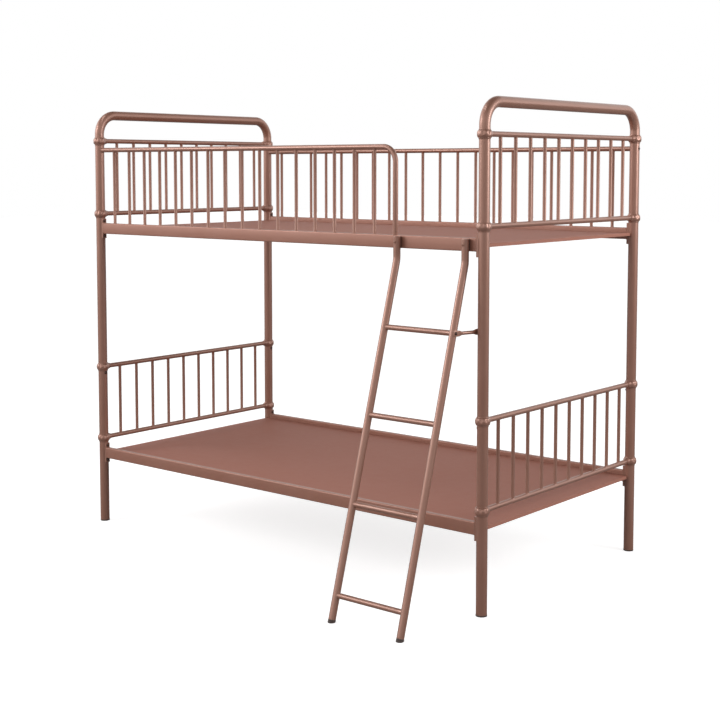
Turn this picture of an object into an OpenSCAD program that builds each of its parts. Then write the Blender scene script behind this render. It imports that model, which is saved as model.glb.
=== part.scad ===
// Bunk bed with a bolted-on ladder, in round steel tube.
// +X runs along the bed, +Y towards its back, +Z up. The floor is Z = 0.
// The origin is the middle of the floor area that the bed and its ladder cover.
// Two welded end frames carry bolted side rails; each upper end frame plugs onto
// its lower one through connector sleeves inside the posts.

/* [Overall] */
// Length between the centres of the left and right posts
post_span_x = 1943; // [1600:1:2400]
// Width between the centres of the front and back posts
post_span_y = 1015; // [800:1:1500]
// Height of the lower bunk's low end rails above the floor
low_rail_z = 358; // [320:1:520]
// Height of each end panel, from its low rail to its top rail
panel_h = 303; // [250:1:380]
// Free height between the lower panels and the upper panels
bunk_gap = 646; // [530:1:900]
// Rise of the hoops' top tube above the upper panels
hoop_rise = 107; // [100:1:180]

/* [Posts and hoops] */
// Diameter of the posts and hoops
post_d = 38.1; // [32:0.1:46]
// Wall of the posts and hoops
post_wall = 1.5; // [1.2:0.1:2.5]
// Bend radius of the hoops, on the centreline
hoop_bend_r = 80; // [60:1:88]
// Length of the connector sleeve inside each post joint
sleeve_l = 140; // [110:1:200]
// Wall of the connector sleeve
sleeve_wall = 2; // [1.5:0.1:3]
// Radial clearance of the connector sleeve in the posts
sleeve_clear = 0.1; // [0.05:0.05:0.3]
// Drop of the connector bolt below the lower panel's top rail
sleeve_bolt_drop = 25; // [23:1:40]

/* [End panels] */
// Diameter of the end rails
rail_d = 19; // [16:0.5:23]
// Diameter of the spindles
spindle_d = 12.7; // [10:0.1:16]
// Number of spindles in each end panel
end_spindles = 10; // [4:1:12]
// Wall of the rails, guard tubes and spindles
thin_wall = 1.2; // [1:0.1:1.8]

/* [Knuckle castings] */
// How far a casting stands out from the post
knuckle_bulge = 7; // [4:0.5:10]
// Height of a casting above the rail's centre
knuckle_up = 16; // [15.5:0.5:24]
// Depth of a casting below the rail's centre
knuckle_down = 18; // [15.5:0.5:19]
// Metal around the rail in a casting's socket
socket_wall = 3; // [2:0.5:4]
// Reach of the socket from the post's surface
socket_reach = 15; // [12:0.5:30]

/* [Side rails] */
// Height of the side rails
side_rail_h = 45; // [35:1:54]
// Thickness of the side rails
side_rail_w = 20; // [16:0.5:26]
// Corner radius of the side rails
side_rail_r = 4; // [2:0.5:6]
// Wall of the side rails
side_rail_wall = 1.5; // [1.2:0.1:2.5]
// Drop of the upper side rails' centre below the upper low end rails
upper_rail_drop = 61; // [60:1:90]
// Drop of the lower side rails' centre below the lower low end rails
lower_rail_drop = 63; // [60:1:90]
// Thickness of an end plate where it is thinnest
plate_t = 5.4; // [3:0.1:8]
// Height of an end plate
plate_h = 82; // [78:1:84]
// Bolt distance above and below the side rail's centre
plate_bolt_z = 31; // [29:0.5:33]

/* [Decks] */
// Thickness of a deck board
deck_t = 12; // [8:0.5:14]
// Drop of the deck's top face below the top of the side rails
deck_drop = 19; // [15:0.5:24]
// Gap between a deck board and the side rails or posts
deck_gap = 1.5; // [1:0.5:5]
// Distance from the deck's ends back to the post centres
deck_end = 2; // [0:1:40]
// Height of the cross bearers
bearer_h = 11; // [9:0.5:11]
// Width of the cross bearers
bearer_w = 30; // [20:1:50]
// Number of cross bearers under each deck
bearers = 7; // [3:1:12]
// Width of the support angles
angle_w = 25; // [18:1:40]
// Metal thickness of the support angles
angle_t = 2.5; // [1.5:0.1:3]
// Distance from a side rail's end to its support angle and the first bearer
angle_end = 190; // [40:5:300]

/* [Guards] */
// Drop of the guard tubes below the upper panels' top rails
guard_drop = 38; // [30:1:80]
// Diameter of the guard tubes
guard_d = 19; // [16:0.5:23]
// Bend radius at the open end of the front guard, on the centreline
guard_bend_r = 52; // [30:1:80]
// Number of spindle spaces along the whole length of the bed
guard_spaces = 21; // [12:1:24]
// Spaces that the front guard covers, counted from the left post
front_spaces = 17; // [8:1:17]

/* [Ladder] */
// Diameter of the ladder rails
ladder_d = 25.4; // [22:0.1:31]
// Distance between the centres of the ladder rails
ladder_w = 286.5; // [240:0.5:400]
// Distance from the right post's centre to the near ladder rail
ladder_inset = 58; // [50:1:80]
// Lean of the ladder: how far its foot stands out for each 24 mm of height
ladder_run = 7; // [4:0.5:9]
// Depth of the ladder rails' bend below the centre of the upper side rail
ladder_bend_drop = 60; // [50:1:120]
// Bend radius of the ladder rails, on the centreline
ladder_bend_r = 84; // [60:1:150]
// Distance from the ladder rails' top ends down from the side rail's top edge
ladder_top_drop = 3; // [1:1:10]
// Diameter of the rungs
rung_d = 19; // [16:0.5:23]
// Height of the lowest rung
rung_first_z = 86; // [70:1:200]
// Distance between rungs
rung_pitch = 290.7; // [200:0.1:330]
// Thickness of the saddle pads behind the ladder rails
saddle_t = 1.5; // [1:0.1:4]
// Diameter of the ladder stay's round middle
stay_d = 12; // [10:0.5:14]
// Thickness of the ladder stay's flattened ends
stay_flat_t = 3; // [2.5:0.1:4]
// Height of the ladder stay's flattened ends
stay_flat_h = 20; // [16:0.5:26]

/* [Feet] */
// Thickness of the glides under the posts
glide_t = 5; // [3:0.5:12]
// Depth of the glides' and caps' plugs inside their tubes
plug_l = 22; // [15:1:35]
// Length of tube that a ladder foot cap adds, measured on its axis
foot_t = 9; // [7:0.5:16]
// How far a foot cap stands out from its tube
foot_rim = 0.5; // [0:0.1:1.5]

/* [Fasteners] */
// Shank diameter of the frame bolts
bolt_d = 8; // [6:0.5:9]
// Head diameter of the frame bolts
bolt_head_d = 14; // [11:0.5:15]
// Head height of the frame bolts
bolt_head_h = 4.2; // [3:0.1:5]
// Shank diameter of the small bolts of the ladder and guards
screw_d = 6; // [5:0.5:7]
// Head diameter of the small bolts
screw_head_d = 11; // [9:0.5:12]
// Head height of the small bolts
screw_head_h = 3.4; // [2.5:0.1:4]
// Radial clearance of the bolts in their holes
bolt_clear = 0.25; // [0.1:0.05:0.5]

/* [Hidden] */
$fn = 48;

// Finishes
paint = [0.60, 0.44, 0.39];
deck_paint = [0.58, 0.43, 0.39];
steel = [0.62, 0.60, 0.58];
dark_plastic = [0.20, 0.16, 0.15];

// Small overlap that makes a cut pass right through a face
cut = 1;
// Depth by which a bolt head's seat reaches down round a tube, and how much slimmer it is
head_seat = 2;
seat_step = 0.4;
// Hexagon socket of a bolt, as a share of its thread
socket_share = 0.7;
// Length by which a shank runs up into its head
shank_overlap = 0.5;
// Smallest corner radius inside a box tube
bore_r_min = 0.4;

// Posts, in a frame whose middle is the middle of the bed
post_r = post_d / 2;
post_bore_d = post_d - 2 * post_wall;
half_x = post_span_x / 2;
half_y = post_span_y / 2;
lower_low_z = low_rail_z;
lower_top_z = lower_low_z + panel_h;
upper_low_z = lower_top_z + bunk_gap;
upper_top_z = upper_low_z + panel_h;
hoop_z = upper_top_z + hoop_rise;
hoop_leg_z = hoop_z - hoop_bend_r;
split_z = lower_top_z + knuckle_up;
sleeve_bolt_z = lower_top_z - sleeve_bolt_drop;
knuckle_r = post_r + knuckle_bulge;
// Castings: plain collars at both ends, and the widest height over the rail's axis
knuckle_lip = 1.2;
knuckle_collar = 4;
knuckle_wide_z = 0.5;
// Bolts that join lower and upper posts, and the wall of the weld nuts
connector_bolt_l = 12;
nut_wall = 2.5;

// Side rails and what they carry
upper_rail_z = upper_low_z - upper_rail_drop;
lower_rail_z = lower_low_z - lower_rail_drop;
upper_rail_top = upper_rail_z + side_rail_h / 2;
lower_rail_top = lower_rail_z + side_rail_h / 2;
plate_face = post_r + plate_t;
side_rail_l = post_span_x - 2 * plate_face;
rail_inner_y = half_y - side_rail_w / 2;
deck_half_x = half_x - deck_end;
deck_half_y = rail_inner_y - deck_gap;
// Bearers fill the height between the deck board and the support angles
angle_leg = bearer_h + angle_t;
angle_l = side_rail_l - 2 * angle_end;
bearer_wall = 1.2;
bearer_half_y = rail_inner_y - angle_t - deck_gap;
bearer_pitch = (angle_l - bearer_w) / (bearers - 1);

// Guards
guard_z = upper_top_z - guard_drop;
guard_pitch = post_span_x / guard_spaces;
guard_end_x = -half_x + front_spaces * guard_pitch;
guard_bore_d = guard_d - 2 * thin_wall;
guard_plug_l = 24;
guard_screw_grip = 14;

// Ladder, in the plane of a rail: y forward is negative
ladder_r = ladder_d / 2;
ladder_bore_d = ladder_d - 2 * thin_wall;
ladder_y = -half_y - side_rail_w / 2 - saddle_t - ladder_r;
ladder_top_z = upper_rail_top - ladder_top_drop;
kink_z = upper_rail_z - ladder_bend_drop;
ladder_rise = 24;
lean = atan(ladder_run / ladder_rise);
bend_tangent = ladder_bend_r * tan(lean / 2);
bend_start_z = kink_z + bend_tangent;
lean_l = kink_z / cos(lean) - bend_tangent;
foot_y = ladder_y - kink_z * tan(lean);
ladder_right_x = half_x - ladder_inset;
ladder_left_x = ladder_right_x - ladder_w;
foot_r = ladder_r + foot_rim;
function lean_y(z) = ladder_y - (kink_z - z) * tan(lean);
rung_z = [for (i = [0 : 3]) rung_first_z + i * rung_pitch];
ladder_cap_t = 2;
saddle_w = 16;
saddle_h = 36;
insert_d = 9;
insert_l = 13;

// Ladder stay: it touches the ladder rail on one side and the post on the other
stay_z = rung_z[3];
stay_bite = 0.8;
stay_span_x = half_x - ladder_right_x;
stay_span_y = -half_y - lean_y(stay_z);
stay_centres = norm([stay_span_x, stay_span_y]);
stay_at_ladder = ladder_r + stay_flat_t / 2 - stay_bite;
stay_at_post = post_r + stay_flat_t / 2 - stay_bite;
stay_turn = atan2(stay_span_y, stay_span_x) + asin((stay_at_ladder + stay_at_post) / stay_centres);
stay_l = sqrt(pow(stay_centres, 2) - pow(stay_at_ladder + stay_at_post, 2));
stay_tail = 11;
stay_flat_l = 13;
stay_blend_l = 14;
stay_slice = 0.5;
stay_screw_grip = 12;
stay_screw_l = stay_flat_t + stay_screw_grip;

// The origin is centred on the whole footprint, ladder feet included
front_reach = -foot_y + foot_r / cos(lean);
back_reach = half_y + knuckle_r;
shift_y = (front_reach - back_reach) / 2;

module placed() {
    translate([0, shift_y, 0]) children();
}

// ---------- shared shapes ----------

module along_x(l) {
    translate([-l / 2, 0, 0]) rotate([0, 90, 0]) children();
}

module along_y(l) {
    translate([0, -l / 2, 0]) rotate([-90, 0, 0]) children();
}

// Copies of a front piece for the front and the back of the bed
module front_and_back() {
    children();
    mirror([0, 1, 0]) children();
}

module left_and_right() {
    children();
    mirror([1, 0, 0]) children();
}

function arc_points(cx, cy, rx, ry, a0, a1, steps) =
    [for (i = [0 : steps]) let (a = a0 + (a1 - a0) * i / steps) [cx + rx * cos(a), cy + ry * sin(a)]];

function rounded_box_points(w, h, r) = concat(
    arc_points(w / 2 - r, h / 2 - r, r, r, 0, 90, 4),
    arc_points(r - w / 2, h / 2 - r, r, r, 90, 180, 4),
    arc_points(r - w / 2, r - h / 2, r, r, 180, 270, 4),
    arc_points(w / 2 - r, r - h / 2, r, r, 270, 360, 4));

// Rectangular tube along X, w thick in Y and h high
module box_tube(l, w, h, r, wall) {
    rotate([90, 0, 90]) translate([0, 0, -l / 2]) linear_extrude(l) difference() {
        polygon(rounded_box_points(w, h, r));
        polygon(rounded_box_points(w - 2 * wall, h - 2 * wall, max(r - wall, bore_r_min)));
    }
}

// Domed bolt with a hexagon socket; the head stands on Z = 0 and the shank hangs below.
// A seat carries the head on below Z = 0, where it is cut to the round that it sits on.
module bolt_head(d, head_d, head_h, seat) {
    dome_r = (pow(head_d / 2, 2) + pow(head_h, 2)) / (2 * head_h);
    difference() {
        union() {
            intersection() {
                cylinder(d = head_d, h = head_h);
                translate([0, 0, head_h - dome_r]) sphere(r = dome_r);
            }
            translate([0, 0, -seat]) cylinder(d = head_d - seat_step, h = seat + head_h / 4);
        }
        translate([0, 0, head_h / 2]) cylinder(d = d * socket_share, h = head_h, $fn = 6);
    }
}

module shank(d, l) {
    translate([0, 0, -l]) cylinder(d = d, h = l + shank_overlap);
}

module bolt(d, l, head_d, head_h) {
    bolt_head(d, head_d, head_h, 0);
    shank(d, l);
}

// Turns children so that their +Z points along +X (side = 1) or -X (side = -1)
module facing_x(side) {
    rotate([0, side * 90, 0]) children();
}

module post_solid(z0, z1) {
    translate([0, 0, z0]) cylinder(d = post_d, h = z1 - z0);
}

// ---------- end frames ----------

// Rod along a hoop: each half starts from its bend's centre
module hoop_path(d, below) {
    leg_l = hoop_leg_z - split_z + below;
    bar_l = half_y - hoop_bend_r;
    front_and_back() translate([0, bar_l, hoop_leg_z]) {
        translate([0, hoop_bend_r, -leg_l]) cylinder(d = d, h = leg_l);
        rotate([90, 0, 90]) rotate_extrude(angle = 90) translate([hoop_bend_r, 0]) circle(d = d);
        translate([0, 0, hoop_bend_r]) rotate([90, 0, 0]) cylinder(d = d, h = bar_l);
    }
}

// Holes for one side rail's two end bolts; inward is the direction of the bed's middle
module plate_bolt_holes(rail_z, inward) {
    for (dz = [-plate_bolt_z, plate_bolt_z])
        translate([0, 0, rail_z + dz])
            facing_x(inward)
                cylinder(d = bolt_d + 2 * bolt_clear, h = plate_face + cut);
}

module screw_through_x(z) {
    translate([-post_d, 0, z]) rotate([0, 90, 0]) cylinder(d = screw_d + 2 * bolt_clear, h = 2 * post_d);
}

module upper_hoop(side) {
    difference() {
        translate([side * half_x, 0, 0]) difference() {
            hoop_path(post_d, 0);
            hoop_path(post_bore_d, cut);
            front_and_back() translate([0, half_y, 0]) plate_bolt_holes(upper_rail_z, -side);
            translate([0, half_y, 0]) screw_through_x(guard_z);
            if (side < 0) translate([0, -half_y, 0]) screw_through_x(guard_z);
        }
        if (side > 0) stay_frame() post_screw_hole();
    }
}

module lower_post(side, back) {
    translate([side * half_x, back * half_y, 0]) difference() {
        post_solid(glide_t, split_z);
        translate([0, 0, glide_t - cut]) cylinder(d = post_bore_d, h = split_z - glide_t + 2 * cut);
        plate_bolt_holes(lower_rail_z, -side);
        translate([0, 0, sleeve_bolt_z]) facing_x(-side) cylinder(d = bolt_d + 2 * bolt_clear, h = post_d);
    }
}

// End rail: a tube across the bed whose ends are cut to the posts' round
module end_rail(side, z) {
    translate([side * half_x, 0, 0]) difference() {
        translate([0, 0, z]) along_y(post_span_y) difference() {
            cylinder(d = rail_d, h = post_span_y);
            translate([0, 0, -cut]) cylinder(d = rail_d - 2 * thin_wall, h = post_span_y + 2 * cut);
        }
        front_and_back() translate([0, half_y, 0]) post_solid(z - rail_d, z + rail_d);
    }
}

module spindle(h) {
    difference() {
        cylinder(d = spindle_d, h = h);
        translate([0, 0, -cut]) cylinder(d = spindle_d - 2 * thin_wall, h = h + 2 * cut);
    }
}

// Spindles of one end panel, cut to the round of the rails above and below
module end_panel_spindles(side, low_z) {
    pitch = post_span_y / (end_spindles + 1);
    translate([side * half_x, 0, 0]) difference() {
        for (i = [1 : end_spindles])
            translate([0, -half_y + i * pitch, low_z]) spindle(panel_h);
        for (z = [low_z, low_z + panel_h])
            translate([0, 0, z]) along_y(post_span_y) cylinder(d = rail_d, h = post_span_y);
    }
}

// Casting's outline: a collar, a round belly and shoulder, and a collar again
function knuckle_oval(h, a0, a1, steps) =
    arc_points(post_r + knuckle_lip, knuckle_wide_z, knuckle_bulge - knuckle_lip, h, a0, a1, steps);

knuckle_outline = concat(
    [[0, -knuckle_down], [post_r + knuckle_lip, -knuckle_down]],
    knuckle_oval(knuckle_down - knuckle_collar + knuckle_wide_z, -90, 0, 7),
    knuckle_oval(knuckle_up - knuckle_collar - knuckle_wide_z, 15, 90, 5),
    [[post_r + knuckle_lip, knuckle_up], [0, knuckle_up]]);

// Casting round a front post, with its socket towards the back
module knuckle() {
    socket_d = rail_d + 2 * socket_wall;
    socket_end = post_r + socket_reach;
    difference() {
        union() {
            rotate_extrude() polygon(knuckle_outline);
            rotate([-90, 0, 0]) cylinder(d = socket_d, h = socket_end - socket_wall);
            translate([0, socket_end - socket_wall, 0]) rotate([-90, 0, 0])
                cylinder(d1 = socket_d, d2 = rail_d + socket_wall, h = socket_wall);
        }
        translate([0, 0, -2 * knuckle_down]) cylinder(d = post_d, h = 4 * knuckle_down);
        rotate([-90, 0, 0]) cylinder(d = rail_d, h = socket_end + cut);
    }
}

module panel_knuckles(side, low_z) {
    translate([side * half_x, 0, 0]) front_and_back()
        for (z = [low_z, low_z + panel_h]) translate([0, -half_y, z]) knuckle();
}

// ---------- post joints and feet ----------

module at_posts() {
    for (side = [-1, 1], back = [-1, 1])
        translate([side * half_x, back * half_y, 0]) mirror([side > 0 ? 1 : 0, 0, 0]) children();
}

module connector_sleeve() {
    sleeve_d = post_bore_d - 2 * sleeve_clear;
    difference() {
        translate([0, 0, split_z - sleeve_l / 2]) difference() {
            cylinder(d = sleeve_d, h = sleeve_l);
            translate([0, 0, -cut]) cylinder(d = sleeve_d - 2 * sleeve_wall, h = sleeve_l + 2 * cut);
        }
        translate([0, 0, sleeve_bolt_z]) facing_x(1) cylinder(d = bolt_d, h = post_d);
    }
}

// Bolt whose head is hollowed to sit on a post's round; it enters from +X
module post_bolt(z, d, l, head_d, head_h) {
    difference() {
        translate([post_r, 0, z]) facing_x(1) bolt_head(d, head_d, head_h, head_seat);
        post_solid(z - head_d, z + head_d);
    }
    translate([post_r, 0, z]) facing_x(1) shank(d, l);
}

module post_glide() {
    cylinder(d = post_d + 2 * foot_rim, h = glide_t);
    translate([0, 0, glide_t]) cylinder(d = post_bore_d, h = plug_l);
}

// ---------- side rails ----------

module side_rail(back, z) {
    translate([0, back * half_y, z])
        box_tube(side_rail_l, side_rail_w, side_rail_h, side_rail_r, side_rail_wall);
}

// End plate of one rail: a block hollowed to the post's round, with two bolt holes
module end_plate(z) {
    difference() {
        translate([0, -side_rail_w / 2, z - plate_h / 2]) cube([plate_face, side_rail_w, plate_h]);
        post_solid(z - plate_h, z + plate_h);
        plate_bolt_holes(z, 1);
    }
}

module weld_nut(z) {
    nut_d = bolt_d + 2 * nut_wall;
    nut_l = bolt_d;
    intersection() {
        translate([post_bore_d / 2 - nut_l, 0, z]) facing_x(1) difference() {
            cylinder(d = nut_d, h = 2 * nut_l);
            translate([0, 0, -cut]) cylinder(d = bolt_d, h = 2 * nut_l + 2 * cut);
        }
        translate([0, 0, z - nut_d]) cylinder(d = post_bore_d, h = 2 * nut_d);
    }
}

// ---------- decks ----------

module deck(rail_top) {
    scoop_r = post_r + deck_gap;
    difference() {
        translate([-deck_half_x, -deck_half_y, rail_top - deck_drop - deck_t])
            cube([2 * deck_half_x, 2 * deck_half_y, deck_t]);
        for (x = [-half_x, half_x], y = [-half_y, half_y])
            translate([x, y, rail_top - 2 * side_rail_h]) cylinder(r = scoop_r, h = 2 * side_rail_h);
    }
}

module deck_bearers(rail_top) {
    z = rail_top - deck_drop - deck_t - bearer_h / 2;
    for (i = [0 : bearers - 1])
        translate([(i - (bearers - 1) / 2) * bearer_pitch, 0, z]) rotate([0, 0, 90])
            box_tube(2 * bearer_half_y, bearer_w, bearer_h, bearer_wall, bearer_wall);
}

// L-shaped angle welded to a side rail's inner face; its foot carries the bearers' ends
module support_angles(rail_top) {
    z = rail_top - deck_drop - deck_t - bearer_h - angle_t;
    front_and_back() translate([-angle_l / 2, -rail_inner_y, z]) {
        cube([angle_l, angle_t, angle_leg]);
        translate([0, angle_t, 0]) cube([angle_l, angle_w - angle_t, angle_t]);
    }
}

// ---------- guards ----------

// Rod along the front guard tube, from its bend's centre
module guard_tube_front(d, below) {
    run_l = half_x + guard_end_x - guard_bend_r;
    drop_l = guard_z - guard_bend_r - upper_rail_top + below;
    translate([guard_end_x - guard_bend_r, 0, guard_z - guard_bend_r]) {
        translate([0, 0, guard_bend_r]) rotate([0, -90, 0]) cylinder(d = d, h = run_l);
        rotate([90, 0, 0]) rotate_extrude(angle = 90) translate([guard_bend_r, 0]) circle(d = d);
        translate([guard_bend_r, 0, -drop_l]) cylinder(d = d, h = drop_l);
    }
}

module guard_tube_back(d, l) {
    translate([0, 0, guard_z]) along_x(l) cylinder(d = d, h = l);
}

module guard_spindle_row(first, last) {
    for (i = [first : last])
        translate([-half_x + i * guard_pitch, 0, upper_rail_top]) spindle(guard_z - upper_rail_top);
}

module guard_end_plug() {
    intersection() {
        difference() {
            translate([0, 0, guard_z]) rotate([0, 90, 0]) difference() {
                cylinder(d = guard_bore_d, h = post_r + guard_plug_l);
                cylinder(d = screw_d, h = post_r + guard_plug_l + cut);
            }
            post_solid(guard_z - guard_d, guard_z + guard_d);
        }
        translate([0, -guard_d, guard_z - guard_d]) cube([post_d + guard_plug_l, 2 * guard_d, 2 * guard_d]);
    }
}

// Places children at the three posts that hold a guard tube; +X of a child points into the tube
module at_guard_ends() {
    translate([-half_x, -half_y, 0]) children();
    translate([-half_x, half_y, 0]) children();
    translate([half_x, half_y, 0]) mirror([1, 0, 0]) children();
}

// ---------- ladder ----------

// Rod along a ladder rail, from its bend's centre; above and below lengthen its two ends.
// The bend is a quarter ring, cut off square to the leaning part.
module ladder_rail_rod(d, above, below) {
    lower_l = lean_l - foot_t + below;
    ring = ladder_bend_r + ladder_d;
    translate([0, ladder_y - ladder_bend_r, bend_start_z]) {
        translate([0, ladder_bend_r, 0]) cylinder(d = d, h = ladder_top_z - bend_start_z + above);
        difference() {
            rotate([90, 0, 90]) mirror([0, 1, 0])
                rotate_extrude(angle = 90) translate([ladder_bend_r, 0]) circle(d = d);
            rotate([-lean, 0, 0]) translate([-ring, 0, -ring]) cube([2 * ring, ring, ring]);
        }
        rotate([-lean, 0, 0]) translate([0, ladder_bend_r, -lower_l]) cylinder(d = d, h = lower_l);
    }
}

module ladder_screw_hole(d) {
    translate([0, ladder_y - ladder_d, upper_rail_z]) rotate([-90, 0, 0])
        cylinder(d = d, h = ladder_d + ladder_r + saddle_t + insert_l);
}

module ladder_rail(x) {
    difference() {
        translate([x, 0, 0]) difference() {
            ladder_rail_rod(ladder_d, 0, 0);
            ladder_rail_rod(ladder_bore_d, -ladder_cap_t, cut);
            ladder_screw_hole(screw_d + 2 * bolt_clear);
        }
        if (x == ladder_right_x) stay_frame() stay_screw_hole();
    }
}

module rung(i) {
    span = ladder_w;
    difference() {
        translate([ladder_left_x, lean_y(rung_z[i]), rung_z[i]]) rotate([0, 90, 0]) difference() {
            cylinder(d = rung_d, h = span);
            translate([0, 0, -cut]) cylinder(d = rung_d - 2 * thin_wall, h = span + 2 * cut);
        }
        for (x = [ladder_left_x, ladder_right_x])
            translate([x, foot_y, 0]) rotate([-lean, 0, 0]) cylinder(d = ladder_d, h = lean_l);
    }
}

// Pad with a flat back on the side rail and a hollow front round the ladder rail
module ladder_saddle(x) {
    translate([x, 0, 0]) difference() {
        translate([-saddle_w / 2, ladder_y, upper_rail_z - saddle_h / 2])
            cube([saddle_w, ladder_r + saddle_t, saddle_h]);
        translate([0, ladder_y, upper_rail_z - saddle_h]) cylinder(d = ladder_d, h = 2 * saddle_h);
        ladder_screw_hole(screw_d + 2 * bolt_clear);
    }
}

module ladder_insert(x) {
    translate([x, -half_y - side_rail_w / 2, upper_rail_z]) rotate([-90, 0, 0]) difference() {
        cylinder(d = insert_d, h = insert_l);
        translate([0, 0, -cut]) cylinder(d = screw_d, h = insert_l + 2 * cut);
    }
}

module ladder_bolt(x) {
    difference() {
        translate([x, ladder_y - ladder_r, upper_rail_z]) rotate([90, 0, 0])
            bolt_head(screw_d, screw_head_d, screw_head_h, head_seat);
        translate([x, ladder_y, upper_rail_z - ladder_d]) cylinder(d = ladder_d, h = 2 * ladder_d);
    }
    translate([x, ladder_y - ladder_r, upper_rail_z]) rotate([90, 0, 0])
        shank(screw_d, ladder_d + saddle_t + insert_l - cut);
}

// Rubber foot: a plug in the rail's end and a skirt cut level with the floor
module ladder_foot(x) {
    difference() {
        translate([x, foot_y, 0]) rotate([-lean, 0, 0]) {
            translate([0, 0, -foot_t]) cylinder(r = foot_r, h = 2 * foot_t);
            translate([0, 0, foot_t]) cylinder(d = ladder_bore_d, h = plug_l);
        }
        translate([x - ladder_d, foot_y - 2 * ladder_d, -4 * foot_t])
            cube([2 * ladder_d, 4 * ladder_d, 4 * foot_t]);
    }
}

// Frame of the stay: X runs from the ladder's bolt to the post's bolt, -Y faces the post
module stay_frame() {
    translate([ladder_right_x, lean_y(stay_z), stay_z]) rotate([0, 0, stay_turn])
        translate([0, -stay_at_ladder, 0]) children();
}

module post_screw_hole() {
    translate([stay_l, 0, 0]) rotate([90, 0, 0]) cylinder(d = screw_d + 2 * bolt_clear, h = post_r);
}

module stay_screw_hole() {
    rotate([-90, 0, 0]) cylinder(d = screw_d + 2 * bolt_clear, h = ladder_r);
}

module stay_blend(x0, x1) {
    hull() {
        translate([x0, -stay_flat_t / 2, -stay_flat_h / 2]) cube([stay_slice, stay_flat_t, stay_flat_h]);
        translate([x1, 0, 0])
            rotate([0, 90, 0])
                cylinder(d = stay_d, h = stay_slice, center = true, $fn = 32);
    }
}

module stay_body() {
    round_from = stay_flat_l + stay_blend_l;
    difference() {
        union() {
            for (x = [-stay_tail, stay_l - stay_flat_l]) translate([x, -stay_flat_t / 2, -stay_flat_h / 2])
                cube([stay_tail + stay_flat_l, stay_flat_t, stay_flat_h]);
            stay_blend(stay_flat_l - stay_slice, round_from);
            stay_blend(stay_l - stay_flat_l, stay_l - round_from);
            translate([round_from, 0, 0])
                rotate([0, 90, 0])
                    cylinder(d = stay_d, h = stay_l - 2 * round_from);
        }
        for (x = [0, stay_l]) translate([x, stay_d, 0]) rotate([90, 0, 0])
            cylinder(d = screw_d + 2 * bolt_clear, h = 2 * stay_d);
    }
}

// ---------- nodes ----------

module left_upper_hoop() { color(paint) placed() upper_hoop(-1); }
module right_upper_hoop() { color(paint) placed() upper_hoop(1); }
module left_upper_top_rail() { color(paint) placed() end_rail(-1, upper_top_z); }
module left_upper_low_rail() { color(paint) placed() end_rail(-1, upper_low_z); }
module right_upper_top_rail() { color(paint) placed() end_rail(1, upper_top_z); }
module right_upper_low_rail() { color(paint) placed() end_rail(1, upper_low_z); }
module left_lower_top_rail() { color(paint) placed() end_rail(-1, lower_top_z); }
module left_lower_low_rail() { color(paint) placed() end_rail(-1, lower_low_z); }
module right_lower_top_rail() { color(paint) placed() end_rail(1, lower_top_z); }
module right_lower_low_rail() { color(paint) placed() end_rail(1, lower_low_z); }
module left_upper_spindles() { color(paint) placed() end_panel_spindles(-1, upper_low_z); }
module right_upper_spindles() { color(paint) placed() end_panel_spindles(1, upper_low_z); }
module left_lower_spindles() { color(paint) placed() end_panel_spindles(-1, lower_low_z); }
module right_lower_spindles() { color(paint) placed() end_panel_spindles(1, lower_low_z); }
module left_front_lower_post() { color(paint) placed() lower_post(-1, -1); }
module left_back_lower_post() { color(paint) placed() lower_post(-1, 1); }
module right_front_lower_post() { color(paint) placed() lower_post(1, -1); }
module right_back_lower_post() { color(paint) placed() lower_post(1, 1); }
module left_upper_knuckles() { color(paint) placed() panel_knuckles(-1, upper_low_z); }
module right_upper_knuckles() { color(paint) placed() panel_knuckles(1, upper_low_z); }
module left_lower_knuckles() { color(paint) placed() panel_knuckles(-1, lower_low_z); }
module right_lower_knuckles() { color(paint) placed() panel_knuckles(1, lower_low_z); }

module upper_front_side_rail() {
    color(paint) placed() difference() {
        side_rail(-1, upper_rail_z);
        for (x = [ladder_left_x, ladder_right_x]) translate([x, -half_y, upper_rail_z]) rotate([90, 0, 0])
            cylinder(d = insert_d, h = side_rail_w);
    }
}

module upper_back_side_rail() { color(paint) placed() side_rail(1, upper_rail_z); }
module lower_front_side_rail() { color(paint) placed() side_rail(-1, lower_rail_z); }
module lower_back_side_rail() { color(paint) placed() side_rail(1, lower_rail_z); }

module rail_end_plates() {
    color(paint) placed() at_posts() for (z = [lower_rail_z, upper_rail_z]) end_plate(z);
}

module rail_bolts() {
    color(steel) placed() at_posts()
    for (z = [lower_rail_z, upper_rail_z], dz = [-plate_bolt_z, plate_bolt_z])
        translate([plate_face, 0, z + dz]) facing_x(1)
            bolt(bolt_d, plate_t + post_wall + bolt_d, bolt_head_d, bolt_head_h);
}

module rail_weld_nuts() {
    color(steel) placed() at_posts()
    for (z = [lower_rail_z, upper_rail_z], dz = [-plate_bolt_z, plate_bolt_z])
        weld_nut(z + dz);
}

module connector_sleeves() { color(steel) placed() at_posts() connector_sleeve(); }

module connector_bolts() {
    color(steel) placed() at_posts()
        post_bolt(sleeve_bolt_z, bolt_d, connector_bolt_l, bolt_head_d, bolt_head_h);
}

module post_glides() { color(dark_plastic) placed() at_posts() post_glide(); }

module upper_deck() { color(deck_paint) placed() deck(upper_rail_top); }
module lower_deck() { color(deck_paint) placed() deck(lower_rail_top); }
module upper_bearers() { color(paint) placed() deck_bearers(upper_rail_top); }
module lower_bearers() { color(paint) placed() deck_bearers(lower_rail_top); }
module upper_support_angles() { color(paint) placed() support_angles(upper_rail_top); }
module lower_support_angles() { color(paint) placed() support_angles(lower_rail_top); }

module front_guard_rail() {
    color(paint) placed() translate([0, -half_y, 0]) difference() {
        guard_tube_front(guard_d, 0);
        guard_tube_front(guard_bore_d, cut);
        translate([-half_x, 0, 0]) post_solid(guard_z - guard_d, guard_z + guard_d);
    }
}

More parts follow.
